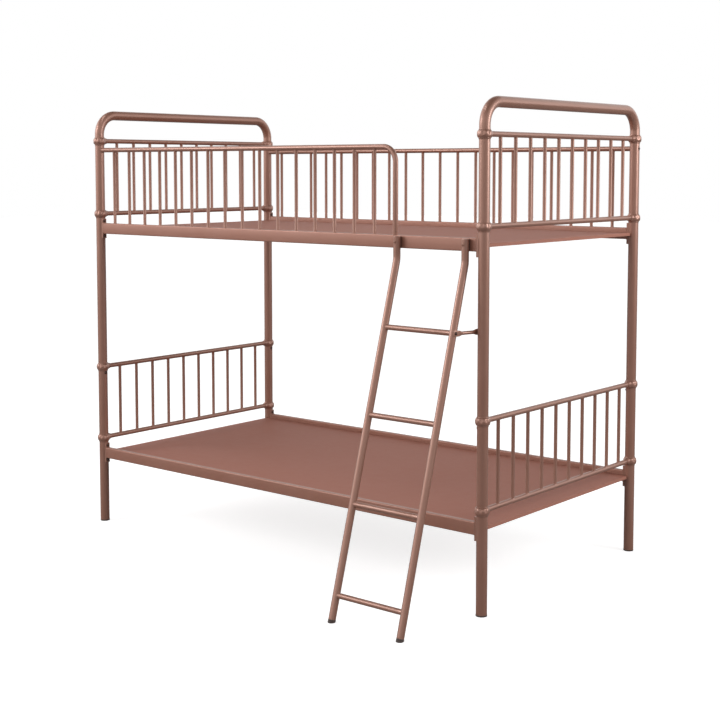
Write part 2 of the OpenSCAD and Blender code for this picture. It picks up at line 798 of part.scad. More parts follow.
module front_guard_spindles() {
    color(paint) placed() translate([0, -half_y, 0]) difference() {
        guard_spindle_row(1, front_spaces - 1);
        guard_tube_front(guard_d, 0);
    }
}

module back_guard_rail() {
    color(paint) placed() translate([0, half_y, 0]) difference() {
        guard_tube_back(guard_d, post_span_x);
        guard_tube_back(guard_bore_d, post_span_x + 2 * cut);
        left_and_right() translate([half_x, 0, 0]) post_solid(guard_z - guard_d, guard_z + guard_d);
    }
}

module back_guard_spindles() {
    color(paint) placed() translate([0, half_y, 0]) difference() {
        guard_spindle_row(1, guard_spaces - 1);
        guard_tube_back(guard_d, post_span_x);
    }
}

module guard_end_plugs() { color(steel) placed() at_guard_ends() guard_end_plug(); }

module guard_bolts() {
    color(steel) placed() at_guard_ends() mirror([1, 0, 0])
        post_bolt(guard_z, screw_d, post_d + guard_screw_grip, screw_head_d, screw_head_h);
}

module left_ladder_rail() { color(paint) placed() ladder_rail(ladder_left_x); }
module right_ladder_rail() { color(paint) placed() ladder_rail(ladder_right_x); }
module first_rung() { color(paint) placed() rung(0); }
module second_rung() { color(paint) placed() rung(1); }
module third_rung() { color(paint) placed() rung(2); }
module fourth_rung() { color(paint) placed() rung(3); }

module ladder_stay() {
    color(paint) placed() difference() {
        stay_frame() stay_body();
        translate([ladder_right_x, foot_y, 0]) rotate([-lean, 0, 0]) cylinder(d = ladder_d, h = lean_l);
        translate([half_x, -half_y, 0]) post_solid(stay_z - stay_flat_h, stay_z + stay_flat_h);
    }
}

module stay_bolts() {
    color(steel) placed() stay_frame() {
        translate([0, -stay_flat_t / 2, 0]) rotate([90, 0, 0])
            bolt(screw_d, stay_screw_l, screw_head_d, screw_head_h);
        translate([stay_l, stay_flat_t / 2, 0]) rotate([-90, 0, 0])
            bolt(screw_d, stay_screw_l, screw_head_d, screw_head_h);
    }
}

module ladder_saddles() {
    color(dark_plastic) placed() for (x = [ladder_left_x, ladder_right_x]) ladder_saddle(x);
}

module ladder_bolts() {
    color(steel) placed() for (x = [ladder_left_x, ladder_right_x]) ladder_bolt(x);
}

module ladder_inserts() {
    color(steel) placed() for (x = [ladder_left_x, ladder_right_x]) ladder_insert(x);
}

module ladder_feet() {
    color(dark_plastic) placed() for (x = [ladder_left_x, ladder_right_x]) ladder_foot(x);
}

left_upper_hoop();
right_upper_hoop();
left_upper_top_rail();
left_upper_low_rail();
right_upper_top_rail();
right_upper_low_rail();
left_lower_top_rail();
left_lower_low_rail();
right_lower_top_rail();
right_lower_low_rail();
left_upper_spindles();
right_upper_spindles();
left_lower_spindles();
right_lower_spindles();
left_front_lower_post();
left_back_lower_post();
right_front_lower_post();
right_back_lower_post();
left_upper_knuckles();
right_upper_knuckles();
left_lower_knuckles();
right_lower_knuckles();
upper_front_side_rail();
upper_back_side_rail();
lower_front_side_rail();
lower_back_side_rail();
rail_end_plates();
rail_bolts();
rail_weld_nuts();
connector_sleeves();
connector_bolts();
post_glides();
upper_deck();
lower_deck();
upper_bearers();
lower_bearers();
upper_support_angles();
lower_support_angles();
front_guard_rail();
front_guard_spindles();
back_guard_rail();
back_guard_spindles();
guard_end_plugs();
guard_bolts();
left_ladder_rail();
right_ladder_rail();
first_rung();
second_rung();
third_rung();
fourth_rung();
ladder_stay();
stay_bolts();
ladder_saddles();
ladder_bolts();
ladder_inserts();
ladder_feet();
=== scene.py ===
# %% [markdown]
# # A steel bunk bed with a bolted-on ladder
#
# The bed is round steel tube under a satin powder coat: two bent hoops and eight rails make the ends,
# small castings wrap the places where rails meet posts, and four box-section side rails carry two flat
# decks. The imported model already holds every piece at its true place. This script keeps that frame fixed
# and gives the bed its surfaces: rolled tube with weld fillets, cast knuckles, a rubber foot, and paint.

# %% Load the frame
import math

import bpy
import numpy as np
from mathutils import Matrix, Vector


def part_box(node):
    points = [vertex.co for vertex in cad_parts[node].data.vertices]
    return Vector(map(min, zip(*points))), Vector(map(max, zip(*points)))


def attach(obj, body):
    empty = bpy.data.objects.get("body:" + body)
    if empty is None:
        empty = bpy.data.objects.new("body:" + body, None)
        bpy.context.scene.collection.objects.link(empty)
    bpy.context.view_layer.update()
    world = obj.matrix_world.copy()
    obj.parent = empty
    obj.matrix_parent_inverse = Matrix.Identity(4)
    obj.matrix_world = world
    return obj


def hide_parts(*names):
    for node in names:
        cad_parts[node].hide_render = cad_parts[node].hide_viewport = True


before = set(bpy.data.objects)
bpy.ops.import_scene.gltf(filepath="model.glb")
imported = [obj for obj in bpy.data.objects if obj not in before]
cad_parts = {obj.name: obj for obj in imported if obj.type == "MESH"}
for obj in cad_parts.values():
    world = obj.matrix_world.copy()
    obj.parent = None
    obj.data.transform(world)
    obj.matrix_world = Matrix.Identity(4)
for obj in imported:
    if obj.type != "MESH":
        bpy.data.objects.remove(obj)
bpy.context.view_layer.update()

# %% [markdown]
# ## Where everything is
#
# A node's box says where its piece stands, so no place is typed in twice. A post gives its axis and
# radius, a rail its height, and the leaning ladder follows from its top, its foot and its slope. Only
# sizes that a box can't show, such as a bend radius or a fillet, are named here, in metres.

# %% Read the places of posts, rails and ladder from the frame
MM = 0.001
X_WAY = np.array([1.0, 0.0, 0.0])
Y_WAY = np.array([0.0, 1.0, 0.0])
Z_WAY = np.array([0.0, 0.0, 1.0])


def span(node):
    """Middle and half size of a CAD node's box, as two arrays."""
    low, high = (np.array(corner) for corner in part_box(node))
    return (low + high) / 2, (high - low) / 2


front_post, front_post_half = span("right_front_lower_post")
back_post, _ = span("right_back_lower_post")
POST_R = front_post_half[0]
POST_X = front_post[0]
FRONT_Y = front_post[1]
BACK_Y = back_post[1]
SPLIT_Z = front_post[2] + front_post_half[2]
POST_FOOT_Z = front_post[2] - front_post_half[2]
rail_mid, rail_half = span("right_upper_top_rail")
RAIL_R = rail_half[2]
LEVELS = {
    "lower_low": span("right_lower_low_rail")[0][2],
    "lower_top": span("right_lower_top_rail")[0][2],
    "upper_low": span("right_upper_low_rail")[0][2],
    "upper_top": rail_mid[2],
}
ENDS = {"left": -POST_X, "right": POST_X}
HOOP_BEND_R = 80 * MM
hoop_mid, hoop_half = span("right_upper_hoop")
HOOP_Z = hoop_mid[2] + hoop_half[2] - POST_R
print("posts at x +-%.4f, y %.4f and %.4f; levels" % (POST_X, FRONT_Y, BACK_Y), LEVELS)

# %% [markdown]
# ## Skins from grids of points
#
# Blender could build tube from curves, from modifiers or from stretched primitives. Here every piece is
# worked out as a grid of points instead: one direction runs along the piece and the other runs round it.
# A grid is exact at bends and ends, costs only the faces it needs, and is closed, so it also prints.

# %% Turn a grid of rings into a closed skin
def skin(rings, wear=None, torus=False):
    """Closed skin through rings, an array of rows x columns x 3. Neighbouring points make quads. A
    torus joins its last ring to its first; any other skin gets a fan of triangles from each end ring's
    mean point."""
    rows, cols = rings.shape[:2]
    i, j = np.meshgrid(np.arange(rows if torus else rows - 1), np.arange(cols), indexing="ij")
    next_i, next_j = (i + 1) % rows, (j + 1) % cols
    corners = [i * cols + j, i * cols + next_j, next_i * cols + next_j, next_i * cols + j]
    quads = np.stack(corners, -1).reshape(-1, 4)
    rub = np.zeros((rows, cols))
    if wear is not None:
        rub += wear
    points, rub = rings.reshape(-1, 3), rub.ravel()
    tris = np.empty((0, 3), int)
    if not torus:
        points = np.vstack([points, rings[[0, -1]].mean(1)])
        rub = np.append(rub, [0, 0])
        near, far = np.arange(cols), (np.arange(cols) + 1) % cols
        start = np.full(cols, rows * cols)
        last = (rows - 1) * cols
        head = np.stack([far, near, start], -1)
        tail = np.stack([last + near, last + far, start + 1], -1)
        tris = np.vstack([head, tail])
    return outward(points, rub, quads, tris)


def outward(points, rub, quads, tris):
    """The same skin, with all faces turned round if they enclose a negative volume. The volume is a
    sixth of the sum of the triple products of every triangle's corners."""
    halves = np.vstack([quads[:, [0, 1, 2]], quads[:, [0, 2, 3]], tris])
    a, b, c = (points[halves[:, n]] - points.mean(0) for n in range(3))
    if np.einsum("ij,ij->", a, np.cross(b, c)) < 0:
        quads, tris = quads[:, ::-1], tris[:, ::-1]
    return points, rub, quads, tris


def joined(skins):
    """Several skins as one, with the later ones' corner numbers moved up by the points before them."""
    starts = np.cumsum([0] + [len(s[0]) for s in skins])
    points = np.vstack([s[0] for s in skins])
    rub = np.concatenate([s[1] for s in skins])
    quads = np.vstack([s[2] + n for s, n in zip(skins, starts)])
    tris = np.vstack([s[3] + n for s, n in zip(skins, starts)])
    return points, rub, quads, tris


def turned(one, ways, place=(0, 0, 0)):
    """A skin whose own X, Y and Z point along the three ways given, moved to a place. Mirrored ways
    turn its faces round as well."""
    points, rub, quads, tris = one
    points = points @ np.array(ways, float) + np.array(place, float)
    if np.linalg.det(np.array(ways, float)) < 0:
        quads, tris = quads[:, ::-1], tris[:, ::-1]
    return points, rub, quads, tris


def copies(one, places):
    """The same skin at each of several places, given as an array of shifts."""
    return joined([turned(one, np.eye(3), place) for place in places])


# %% [markdown]
# A finished piece is one mesh object at the origin. It rides on the CAD body, carries its finish and
# hides the CAD nodes that it stands for. Smooth shading makes a 40-sided tube look round, and edges
# that turn sharper than a given angle stay crisp.

# %% Make a piece from a skin
pieces_made = {}


def piece(name, one, finish, nodes=(), crease=38):
    """One visible piece: its mesh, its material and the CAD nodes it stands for."""
    points, rub, quads, tris = one
    mesh = bpy.data.meshes.new(name)
    mesh.from_pydata(points.tolist(), [], quads.tolist() + tris.tolist())
    mesh.attributes.new("wear", "FLOAT", "POINT").data.foreach_set("value", rub.astype(np.float32))
    mesh.shade_smooth()
    mesh.set_sharp_from_angle(angle=math.radians(crease))
    mesh.materials.append(finish)
    obj = bpy.data.objects.new(name, mesh)
    bpy.context.scene.collection.objects.link(obj)
    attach(obj, "root")
    if nodes:
        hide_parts(*nodes)
    pieces_made[name] = 2 * len(quads) + len(tris)
    return obj


# %% [markdown]
# ## Tube
#
# A bent tube is a circle carried along a line. The line is straight runs joined by arcs, as a mandrel
# bender leaves it, and it stays in one plane, so the circle never twists. Sawn ends are deburred before
# coating, so each end closes with a small quarter round.

# %% Lines, rims and swept tube
def bent_line(corners, radius, steps=20):
    """Straight runs through the corners, each inner corner replaced by an arc. The arc starts radius *
    tan(turn / 2) before the corner, and its centre is radius / cos(turn / 2) from the corner, along
    the two runs' bisector."""
    corners = np.array(corners, float)
    line = [corners[:1]]
    for before, corner, after in zip(corners, corners[1:], corners[2:]):
        back = (before - corner) / np.linalg.norm(before - corner)
        on = (after - corner) / np.linalg.norm(after - corner)
        turn = math.pi - math.acos(back @ on)
        centre = corner + (back + on) / np.linalg.norm(back + on) * radius / math.cos(turn / 2)
        spoke = (corner + back * radius * math.tan(turn / 2) - centre) / radius
        angle = np.linspace(0, turn, steps + 1)[:, None]
        line.append(centre + radius * (np.cos(angle) * spoke - np.sin(angle) * back))
    return np.vstack(line + [corners[-1:]])


RUBBED_END = 3 * MM


def rimmed(line, radius, edge, steps=4):
    """The line, its radii and the wear of its rims. Over the last edge of length at both ends the
    radius follows a quarter circle, down to radius - edge. The wear is 1 on it and fades to 0 by
    RUBBED_END."""
    angle = np.linspace(0, math.pi / 2, steps + 1)
    back = np.append(edge * (1 - np.cos(angle)), RUBBED_END)[:, None]
    small = np.append(radius - edge * (1 - np.sin(angle)), radius)
    worn = np.append(np.ones(steps + 1), 0)
    start = (line[1] - line[0]) / np.linalg.norm(line[1] - line[0])
    end = (line[-2] - line[-1]) / np.linalg.norm(line[-2] - line[-1])
    head, tail = line[0] + back * start, (line[-1] + back * end)[::-1]
    radii = np.concatenate([small, np.full(len(line) - 2, radius), small[::-1]])
    rub = np.concatenate([worn, np.zeros(len(line) - 2), worn[::-1]])
    return np.vstack([head, line[1:-1], tail]), radii, rub


def swept(line, radii, side_way, sides=48):
    """Rings square to a flat line: point + radius * (cos a * out + sin a * side), where side is the
    normal of the line's plane and out is square to side and to the direction of travel."""
    travel = np.gradient(line, axis=0)
    travel /= np.linalg.norm(travel, axis=1, keepdims=True)
    out = np.cross(side_way, travel)[:, None]
    angle = np.linspace(0, 2 * math.pi, sides, endpoint=False)[None, :, None]
    ring = np.cos(angle) * out + np.sin(angle) * side_way
    return line[:, None] + np.broadcast_to(radii, len(line))[:, None, None] * ring


def tube(line, radius, side_way, edge=0.6 * MM, sides=48):
    """A closed tube along a flat line, with quarter-round rims."""
    line, radii, rub = rimmed(line, radius, edge)
    return skin(swept(line, radii, side_way, sides), rub[:, None])


# %% [markdown]
# ## A bar welded between two others
#
# Spindles and rungs end on the curved side of another tube. The welder's bead fills that corner with a
# small concave fillet, which catches light as a soft ring. The surface is a function of the angle round
# the bar and of a second parameter that runs down the fillet, along the bar and out again.

# %% Bars with a weld fillet at each end
SINK = 0.3 * MM
TOE_WEAR = 0.35


def round_top(radius):
    """Height of a crossing tube's surface over its axis, for an offset x across it: the root of r^2 -
    x^2."""
    return lambda x: np.sqrt(radius**2 - x**2)


def bar_between(gap, radius, fillet, lower, upper, sides=24, steps=5, trodden=0.0):
    """A bar along its own Z from 0 to gap, between surfaces whose heights are functions of x. In a
    fillet the distance from the axis is radius + fillet * (1 - cos t) and the height over the surface
    fillet * (1 - sin t). A trodden bar is worn by trodden * sin(share of its length)^2 on the side
    that faces its own Y."""
    angle = np.linspace(0, 2 * math.pi, sides, endpoint=False)
    t = np.linspace(0, math.pi / 2, steps + 1)[:, None]
    reach = radius + fillet * (1 - np.cos(t))
    rise = fillet * (1 - np.sin(t)) - SINK
    x, y = reach * np.cos(angle), reach * np.sin(angle)
    low = np.stack([x, y, lower(x) + rise], -1)[::-1]
    high = np.stack([x, y, gap - upper(x) - rise], -1)
    toe = TOE_WEAR * np.sin(t) + 0 * angle
    if not trodden:
        return skin(np.concatenate([low, high]), np.concatenate([toe[::-1], toe]))
    share = np.linspace(0, 1, 13)[1:-1, None]
    level = low[-1] + share[..., None] * (high[0] - low[-1])
    worn_top = trodden * np.sin(math.pi * share) ** 2 * np.clip(np.sin(angle), 0, 1)
    return skin(np.concatenate([low, level, high]), np.concatenate([toe[::-1], worn_top, toe]))


# %% [markdown]
# ## Finishes
#
# Five things show on a powder coat from close up: a fine orange peel where the powder melted and flowed,
# slow drifts of tone, a duller or brighter gloss in patches, paler paint on rims and weld toes where the
# coat is thin, and a trace of dust on what faces up. Each is a node group, built once and used with each
# material's own amounts. Their patterns read Object coordinates, which are metres in the bed's own
# frame, so the scale is true everywhere.

# %% Helpers for node groups and materials
def node_group(name, inputs, outputs):
    """An empty shader node group with float and colour sockets: name, kind and default of each."""
    group = bpy.data.node_groups.new(name, "ShaderNodeTree")
    for way, sockets in (("INPUT", inputs), ("OUTPUT", outputs)):
        for label, kind, start in sockets:
            socket = group.interface.new_socket(name=label, in_out=way, socket_type="NodeSocket" + kind)
            if start is not None:
                socket.default_value = start
    return group, group.nodes.new("NodeGroupInput"), group.nodes.new("NodeGroupOutput")


def noise_at(tree, scale, detail=3.0, roughness=0.5):
    """A noise texture on Object coordinates; scale is a number or a socket, in features per metre."""
    where = tree.nodes.new("ShaderNodeTexCoord")
    noise = tree.nodes.new("ShaderNodeTexNoise")
    noise.inputs["Detail"].default_value = detail
    noise.inputs["Roughness"].default_value = roughness
    tree.links.new(where.outputs["Object"], noise.inputs["Vector"])
    if isinstance(scale, bpy.types.NodeSocket):
        tree.links.new(scale, noise.inputs["Scale"])
    else:
        noise.inputs["Scale"].default_value = scale
    return noise.outputs["Fac"]


def math_node(tree, operation, first, second=0.0, third=0.0):
    """A Math node; each operand is a number or a socket."""
    made = tree.nodes.new("ShaderNodeMath")
    made.operation = operation
    for socket, value in zip(made.inputs, (first, second, third)):
        if isinstance(value, bpy.types.NodeSocket):
            tree.links.new(value, socket)
        else:
            socket.default_value = value
    return made.outputs[0]


def blend_colours(tree, factor, first, second):
    """A colour Mix node; the factor and the colours are values or sockets."""
    made = tree.nodes.new("ShaderNodeMix")
    made.data_type = "RGBA"
    for number, value in ((0, factor), (6, first), (7, second)):
        if isinstance(value, bpy.types.NodeSocket):
            tree.links.new(value, made.inputs[number])
        else:
            made.inputs[number].default_value = value
    return made.outputs[2]


# %% The shared effects: tone, gloss, orange peel, worn rims and dust
PALER_IS_GREYER = -0.8
PEEL_HEIGHT = 0.4 * MM
FLECK_SCALE = 260.0
FLECK_GAIN = 3.0
FLECK_FLOOR = -0.9
DUST_SCALE = 22.0
DUST_FALLOFF = 3.0
tone_group, tone_in, tone_out = node_group(
    "Tone drift",
    [("Colour", "Color", None), ("Amount", "Float", 0.1), ("Scale", "Float", 9.0)],
    [("Colour", "Color", None)],
)
slow = noise_at(tone_group, tone_in.outputs["Scale"], 4.0, 0.55)
signed = math_node(tone_group, "MULTIPLY_ADD", slow, 2.0, -1.0)
shift = math_node(tone_group, "MULTIPLY", signed, tone_in.outputs["Amount"])
value = math_node(tone_group, "ADD", shift, 1.0)
tint = tone_group.nodes.new("ShaderNodeHueSaturation")
tone_group.links.new(value, tint.inputs["Value"])
greyer = math_node(tone_group, "MULTIPLY_ADD", shift, PALER_IS_GREYER, 1.0)
tone_group.links.new(greyer, tint.inputs["Saturation"])
tone_group.links.new(tone_in.outputs["Colour"], tint.inputs["Color"])
tone_group.links.new(tint.outputs["Color"], tone_out.inputs["Colour"])

gloss_group, gloss_in, gloss_out = node_group(
    "Gloss drift",
    [("Roughness", "Float", 0.4), ("Amount", "Float", 0.1), ("Scale", "Float", 30.0)],
    [("Roughness", "Float", None)],
)
patches = noise_at(gloss_group, gloss_in.outputs["Scale"], 5.0, 0.6)
drift = math_node(gloss_group, "MULTIPLY_ADD", patches, 2.0, -1.0)
shifted = math_node(gloss_group, "MULTIPLY_ADD", drift, gloss_in.outputs["Amount"],
                    gloss_in.outputs["Roughness"])
gloss_group.links.new(shifted, gloss_out.inputs["Roughness"])

peel_group, peel_in, peel_out = node_group(
    "Orange peel",
    [("Scale", "Float", 450.0), ("Depth", "Float", 0.1), ("Grit", "Float", 0.3)],
    [("Normal", "Vector", None)],
)
swell = noise_at(peel_group, peel_in.outputs["Scale"], 2.0, 0.4)
fine_scale = math_node(peel_group, "MULTIPLY", peel_in.outputs["Scale"], 4.0)
fine = noise_at(peel_group, fine_scale, 2.0, 0.5)
grit = math_node(peel_group, "MULTIPLY", fine, peel_in.outputs["Grit"])
bump = peel_group.nodes.new("ShaderNodeBump")
bump.inputs["Distance"].default_value = PEEL_HEIGHT
peel_group.links.new(math_node(peel_group, "ADD", swell, grit), bump.inputs["Height"])
peel_group.links.new(peel_in.outputs["Depth"], bump.inputs["Strength"])
peel_group.links.new(bump.outputs["Normal"], peel_out.inputs["Normal"])

rim_group, rim_in, rim_out = node_group(
    "Worn rims",
    [("Amount", "Float", 0.5)],
    [("Mask", "Float", None)],
)
rim = rim_group.nodes.new("ShaderNodeAttribute")
rim.attribute_name = "wear"
specks = noise_at(rim_group, FLECK_SCALE, 4.0, 0.65)
flecks = math_node(rim_group, "MULTIPLY_ADD", specks, FLECK_GAIN, FLECK_FLOOR)
flecked = math_node(rim_group, "MULTIPLY", rim.outputs["Fac"], flecks)
worn = math_node(rim_group, "MULTIPLY", flecked, rim_in.outputs["Amount"])
held = rim_group.nodes.new("ShaderNodeClamp")
rim_group.links.new(worn, held.inputs["Value"])
rim_group.links.new(held.outputs["Result"], rim_out.inputs["Mask"])

dust_group, dust_in, dust_out = node_group(
    "Settled dust",
    [("Amount", "Float", 0.1)],
    [("Mask", "Float", None)],
)
facing = dust_group.nodes.new("ShaderNodeNewGeometry")
split = dust_group.nodes.new("ShaderNodeSeparateXYZ")
dust_group.links.new(facing.outputs["Normal"], split.inputs["Vector"])
facing_up = math_node(dust_group, "MAXIMUM", split.outputs["Z"], 0.0)
upward = math_node(dust_group, "POWER", facing_up, DUST_FALLOFF)
cloud = math_node(dust_group, "MULTIPLY", upward, noise_at(dust_group, DUST_SCALE, 5.0, 0.6))
settled = math_node(dust_group, "MULTIPLY", cloud, dust_in.outputs["Amount"])
dust_group.links.new(settled, dust_out.inputs["Mask"])
print("effects:", [g.name for g in bpy.data.node_groups])

# %% [markdown]
# Every finish of the bed is some mixture of those effects over one colour, so one function builds them
# all. Metallic, coat and specular stay on the Principled shader's own sockets; only what changes over
# the surface comes from nodes.

# %% The finishes
def add_group(tree, group, **values):
    """A group node in a material, with its inputs set."""
    node = tree.nodes.new("ShaderNodeGroup")
    node.node_tree = group
    for label, start in values.items():
        node.inputs[label].default_value = start
    return node


COAT_ROUGHNESS = 0.25
DUST_COLOUR = (0.62, 0.58, 0.54, 1)
DUST_DULLS = 0.5


def coated(name, colour, thin_colour, roughness, metallic, coat, tone=0.08, tone_scale=7.0, gloss=0.05,
           peel=0.10, peel_scale=420.0, grit=0.3, rims=0.5, dust=0.05, sheen=0.5):
    """A painted or plated finish. The colour drifts, pales to thin_colour on worn rims and greys a
    little with dust; the roughness drifts; the orange peel bends the normal."""
    made = bpy.data.materials.new(name)
    made.use_nodes = True
    tree = made.node_tree
    shader = tree.nodes["Principled BSDF"]
    shader.inputs["Metallic"].default_value = metallic
    shader.inputs["Specular IOR Level"].default_value = sheen
    shader.inputs["Coat Weight"].default_value = coat
    shader.inputs["Coat Roughness"].default_value = COAT_ROUGHNESS
    tones = add_group(tree, tone_group, Colour=(*colour, 1), Amount=tone, Scale=tone_scale)
    worn_rims = add_group(tree, rim_group, Amount=rims)
    dusting = add_group(tree, dust_group, Amount=dust)
    thinned = blend_colours(tree, worn_rims.outputs["Mask"], tones.outputs["Colour"], (*thin_colour, 1))
    dusty = blend_colours(tree, dusting.outputs["Mask"], thinned, DUST_COLOUR)
    tree.links.new(dusty, shader.inputs["Base Color"])
    glosses = add_group(tree, gloss_group, Roughness=roughness, Amount=gloss)
    duller = math_node(tree, "MULTIPLY_ADD", dusting.outputs["Mask"], DUST_DULLS,
                       glosses.outputs["Roughness"])
    tree.links.new(duller, shader.inputs["Roughness"])
    peeled = add_group(tree, peel_group, Scale=peel_scale, Depth=peel, Grit=grit)
    tree.links.new(peeled.outputs["Normal"], shader.inputs["Normal"])
    return made


ROSE = (0.298, 0.143, 0.101)
ROSE_THIN = (0.42, 0.24, 0.19)
RAIL_ROSE = (0.300, 0.133, 0.092)
DECK_ROSE = (0.346, 0.141, 0.100)
BEARER_ROSE = (0.25, 0.13, 0.105)
BOLT_BROWN = (0.085, 0.044, 0.034)
BOLT_THIN = (0.24, 0.16, 0.13)
STEEL = (0.46, 0.44, 0.42)
STEEL_BRIGHT = (0.6, 0.6, 0.6)
RUBBER = (0.060, 0.038, 0.032)
RUBBER_GREY = (0.10, 0.08, 0.07)
tube_paint = coated("tube_powder_coat", ROSE, ROSE_THIN, 0.335, 0.38, 0.35, gloss=0.04, peel=0.07)
ladder_paint = coated("ladder_powder_coat", ROSE, ROSE_THIN, 0.33, 0.38, 0.4, gloss=0.04, peel=0.05,
                      rims=0.7)
rail_paint = coated("side_rail_powder_coat", RAIL_ROSE, ROSE_THIN, 0.36, 0.3, 0.15, peel=0.07)
casting_paint = coated("casting_powder_coat", ROSE, ROSE_THIN, 0.33, 0.42, 0.45, gloss=0.04, peel=0.2,
                       peel_scale=260.0)
bearer_paint = coated("bearer_powder_coat", BEARER_ROSE, ROSE_THIN, 0.5, 0.1, 0.0, peel=0.2)
deck_paint = coated("deck_satin_paint", DECK_ROSE, ROSE_THIN, 0.6, 0.0, 0.0, sheen=0.12, tone=0.035,
                    tone_scale=3.0, gloss=0.06, peel=0.16, peel_scale=240.0, grit=0.7, dust=0.04)
bolt_metal = coated("dark_bolt_coat", BOLT_BROWN, BOLT_THIN, 0.38, 0.5, 0.0, tone=0.2, tone_scale=60.0,
                    peel=0.05)
plain_steel = coated("bare_steel", STEEL, STEEL_BRIGHT, 0.42, 0.95, 0.0, tone=0.1, tone_scale=40.0)
foot_rubber = coated("foot_rubber", RUBBER, RUBBER_GREY, 0.62, 0.0, 0.0, tone=0.15, tone_scale=80.0,
                     peel=0.3, peel_scale=900.0, dust=0.2)
print("finishes:", [m.name for m in bpy.data.materials])

# %% [markdown]
# ## Hoops and posts
#
# Each end of the bed is one tube bent twice: up as a post, across the top and down again. It could be a
# curve with a bevel, but its mesh would then carry no rims. A ring of points every few degrees in the
# bends keeps their outline round. The lower posts are straight lengths that meet the hoops at a seam.

# %% Hoops
def hoop(x):
    """One end hoop in the plane x: leg, bend, top bar, bend, leg."""
    corners = [(x, FRONT_Y, SPLIT_Z), (x, FRONT_Y, HOOP_Z), (x, BACK_Y, HOOP_Z), (x, BACK_Y, SPLIT_Z)]
    return tube(bent_line(corners, HOOP_BEND_R, 28), POST_R, X_WAY, sides=56)


for end, x in ENDS.items():
    piece(f"{end}_hoop_tube", hoop(x), tube_paint, [f"{end}_upper_hoop"])
    for row, y in (("front", FRONT_Y), ("back", BACK_Y)):
        upright = np.array([(x, y, POST_FOOT_Z), (x, y, SPLIT_Z)])
        piece(f"{end}_{row}_post_tube", tube(upright, POST_R, X_WAY, sides=56), tube_paint,
              [f"{end}_{row}_lower_post"])
print("hoop top at", round(HOOP_Z + POST_R, 4))

# %% [markdown]
# ## End rails and spindles
#
# Four rails cross each end, and ten spindles stand between each pair. The rails' ends run into the
# castings. A spindle's two ends are cut to the rail's round and welded, so it is a bar between two
# round tops; all ten of a panel are one piece with ten shells, as the CAD node is.

# %% Rails and spindles of the four end panels
SPINDLE_R = 6.35 * MM
WELD = 1.9 * MM
END_SPINDLES = 10
pitch = (BACK_Y - FRONT_Y) / (END_SPINDLES + 1)
spindle_ys = FRONT_Y + pitch * np.arange(1, END_SPINDLES + 1)
for end, x in ENDS.items():
    for floor in ("upper", "lower"):
        low_z, top_z = LEVELS[f"{floor}_low"], LEVELS[f"{floor}_top"]
        for level in ("low", "top"):
            middle, half = span(f"{end}_{floor}_{level}_rail")
            ends = middle + np.outer([-1, 1], half * Y_WAY)
            piece(f"{end}_{floor}_{level}_end_rail", tube(ends, RAIL_R, Z_WAY, sides=40), tube_paint,
                  [f"{end}_{floor}_{level}_rail"])
        bar = bar_between(top_z - low_z, SPINDLE_R, WELD, round_top(RAIL_R), round_top(RAIL_R))
        shifts = np.stack([np.full(END_SPINDLES, x), spindle_ys, np.full(END_SPINDLES, low_z)], -1)
        piece(f"{end}_{floor}_panel_bars", copies(bar, shifts), tube_paint,
              [f"{end}_{floor}_spindles"])
print("spindle pitch", round(pitch, 4))

# %% [markdown]
# ## Knuckle castings
#
# Where a rail meets a post, a cast knuckle covers the joint: a bulb round the post with eight soft lobes
# on its shoulder, a long taper to a thin lip below, and a short socket for the rail. Sculpting or a
# remeshed boolean would round it off too much. The bulb is instead one formula in the angle round the
# post and the height, and the socket is a second skin that flares where it lands on the bulb.

# %% The casting's two skins
BULGE = 6.9 * MM
LIP = 1.2 * MM
WIDE_Z = 0.5 * MM
SHOULDER_H = 11.5 * MM
NECK_H = 3.6 * MM
BELLY_H = 14.0 * MM
SKIRT_Z = -18.0 * MM
LOBES = 8
LOBE_DEPTH = 2.6 * MM
LOBE_Z = 5.0 * MM
LOBE_SPREAD = 7.0 * MM
LOBE_WEAR = 0.35
SOCKET_R = RAIL_R + 2.6 * MM
SOCKET_REACH = POST_R + 14.6 * MM
SOCKET_FLARE = 3.2 * MM
SOCKET_EDGE = 1.8 * MM
SOCKET_SINK = 1.6 * MM
SOCKET_STEP = 1.0 * MM
SOCKET_WEAR = 0.2


def bulb():
    """Radius over the post, by height: a level skirt, then a half oval whose belly is longer than its
    shoulder, then a thin neck ring. Petals take away depth * (1 - |cos(4 a)|), most of it on the
    shoulder."""
    q = np.linspace(-math.pi / 2, math.pi / 2, 27)
    oval_h = np.where(q < 0, BELLY_H, SHOULDER_H)
    oval = np.stack([LIP + (BULGE - LIP) * np.cos(q), WIDE_Z + oval_h * np.sin(q)], -1)
    skirt = [(-LIP, SKIRT_Z), (LIP * 0.6, SKIRT_Z), (LIP, SKIRT_Z + 0.6 * MM)]
    neck_z = WIDE_Z + SHOULDER_H + NECK_H / 2
    r = np.linspace(-math.pi / 2, math.pi / 2, 9)[1:]
    neck = np.stack([LIP * (0.75 + 0.5 * np.cos(r)), neck_z + NECK_H / 2 * np.sin(r)], -1)
    profile = np.vstack([skirt, oval, neck, [(-LIP, neck_z + NECK_H / 2)]])
    angle = np.linspace(0, 2 * math.pi, 96, endpoint=False)
    height = profile[:, 1:]
    swell = np.clip(profile[:, :1] / BULGE, 0, 1) ** 0.5
    strength = np.exp(-(((height - LOBE_Z) / LOBE_SPREAD) ** 2)) * swell
    petals = np.abs(np.cos(LOBES / 2 * angle))
    radius = POST_R + profile[:, :1] - LOBE_DEPTH * strength * (1 - petals)
    rings = np.stack([radius * np.cos(angle), radius * np.sin(angle), height + 0 * angle], -1)
    return skin(rings, LOBE_WEAR * strength * petals**4, torus=True)


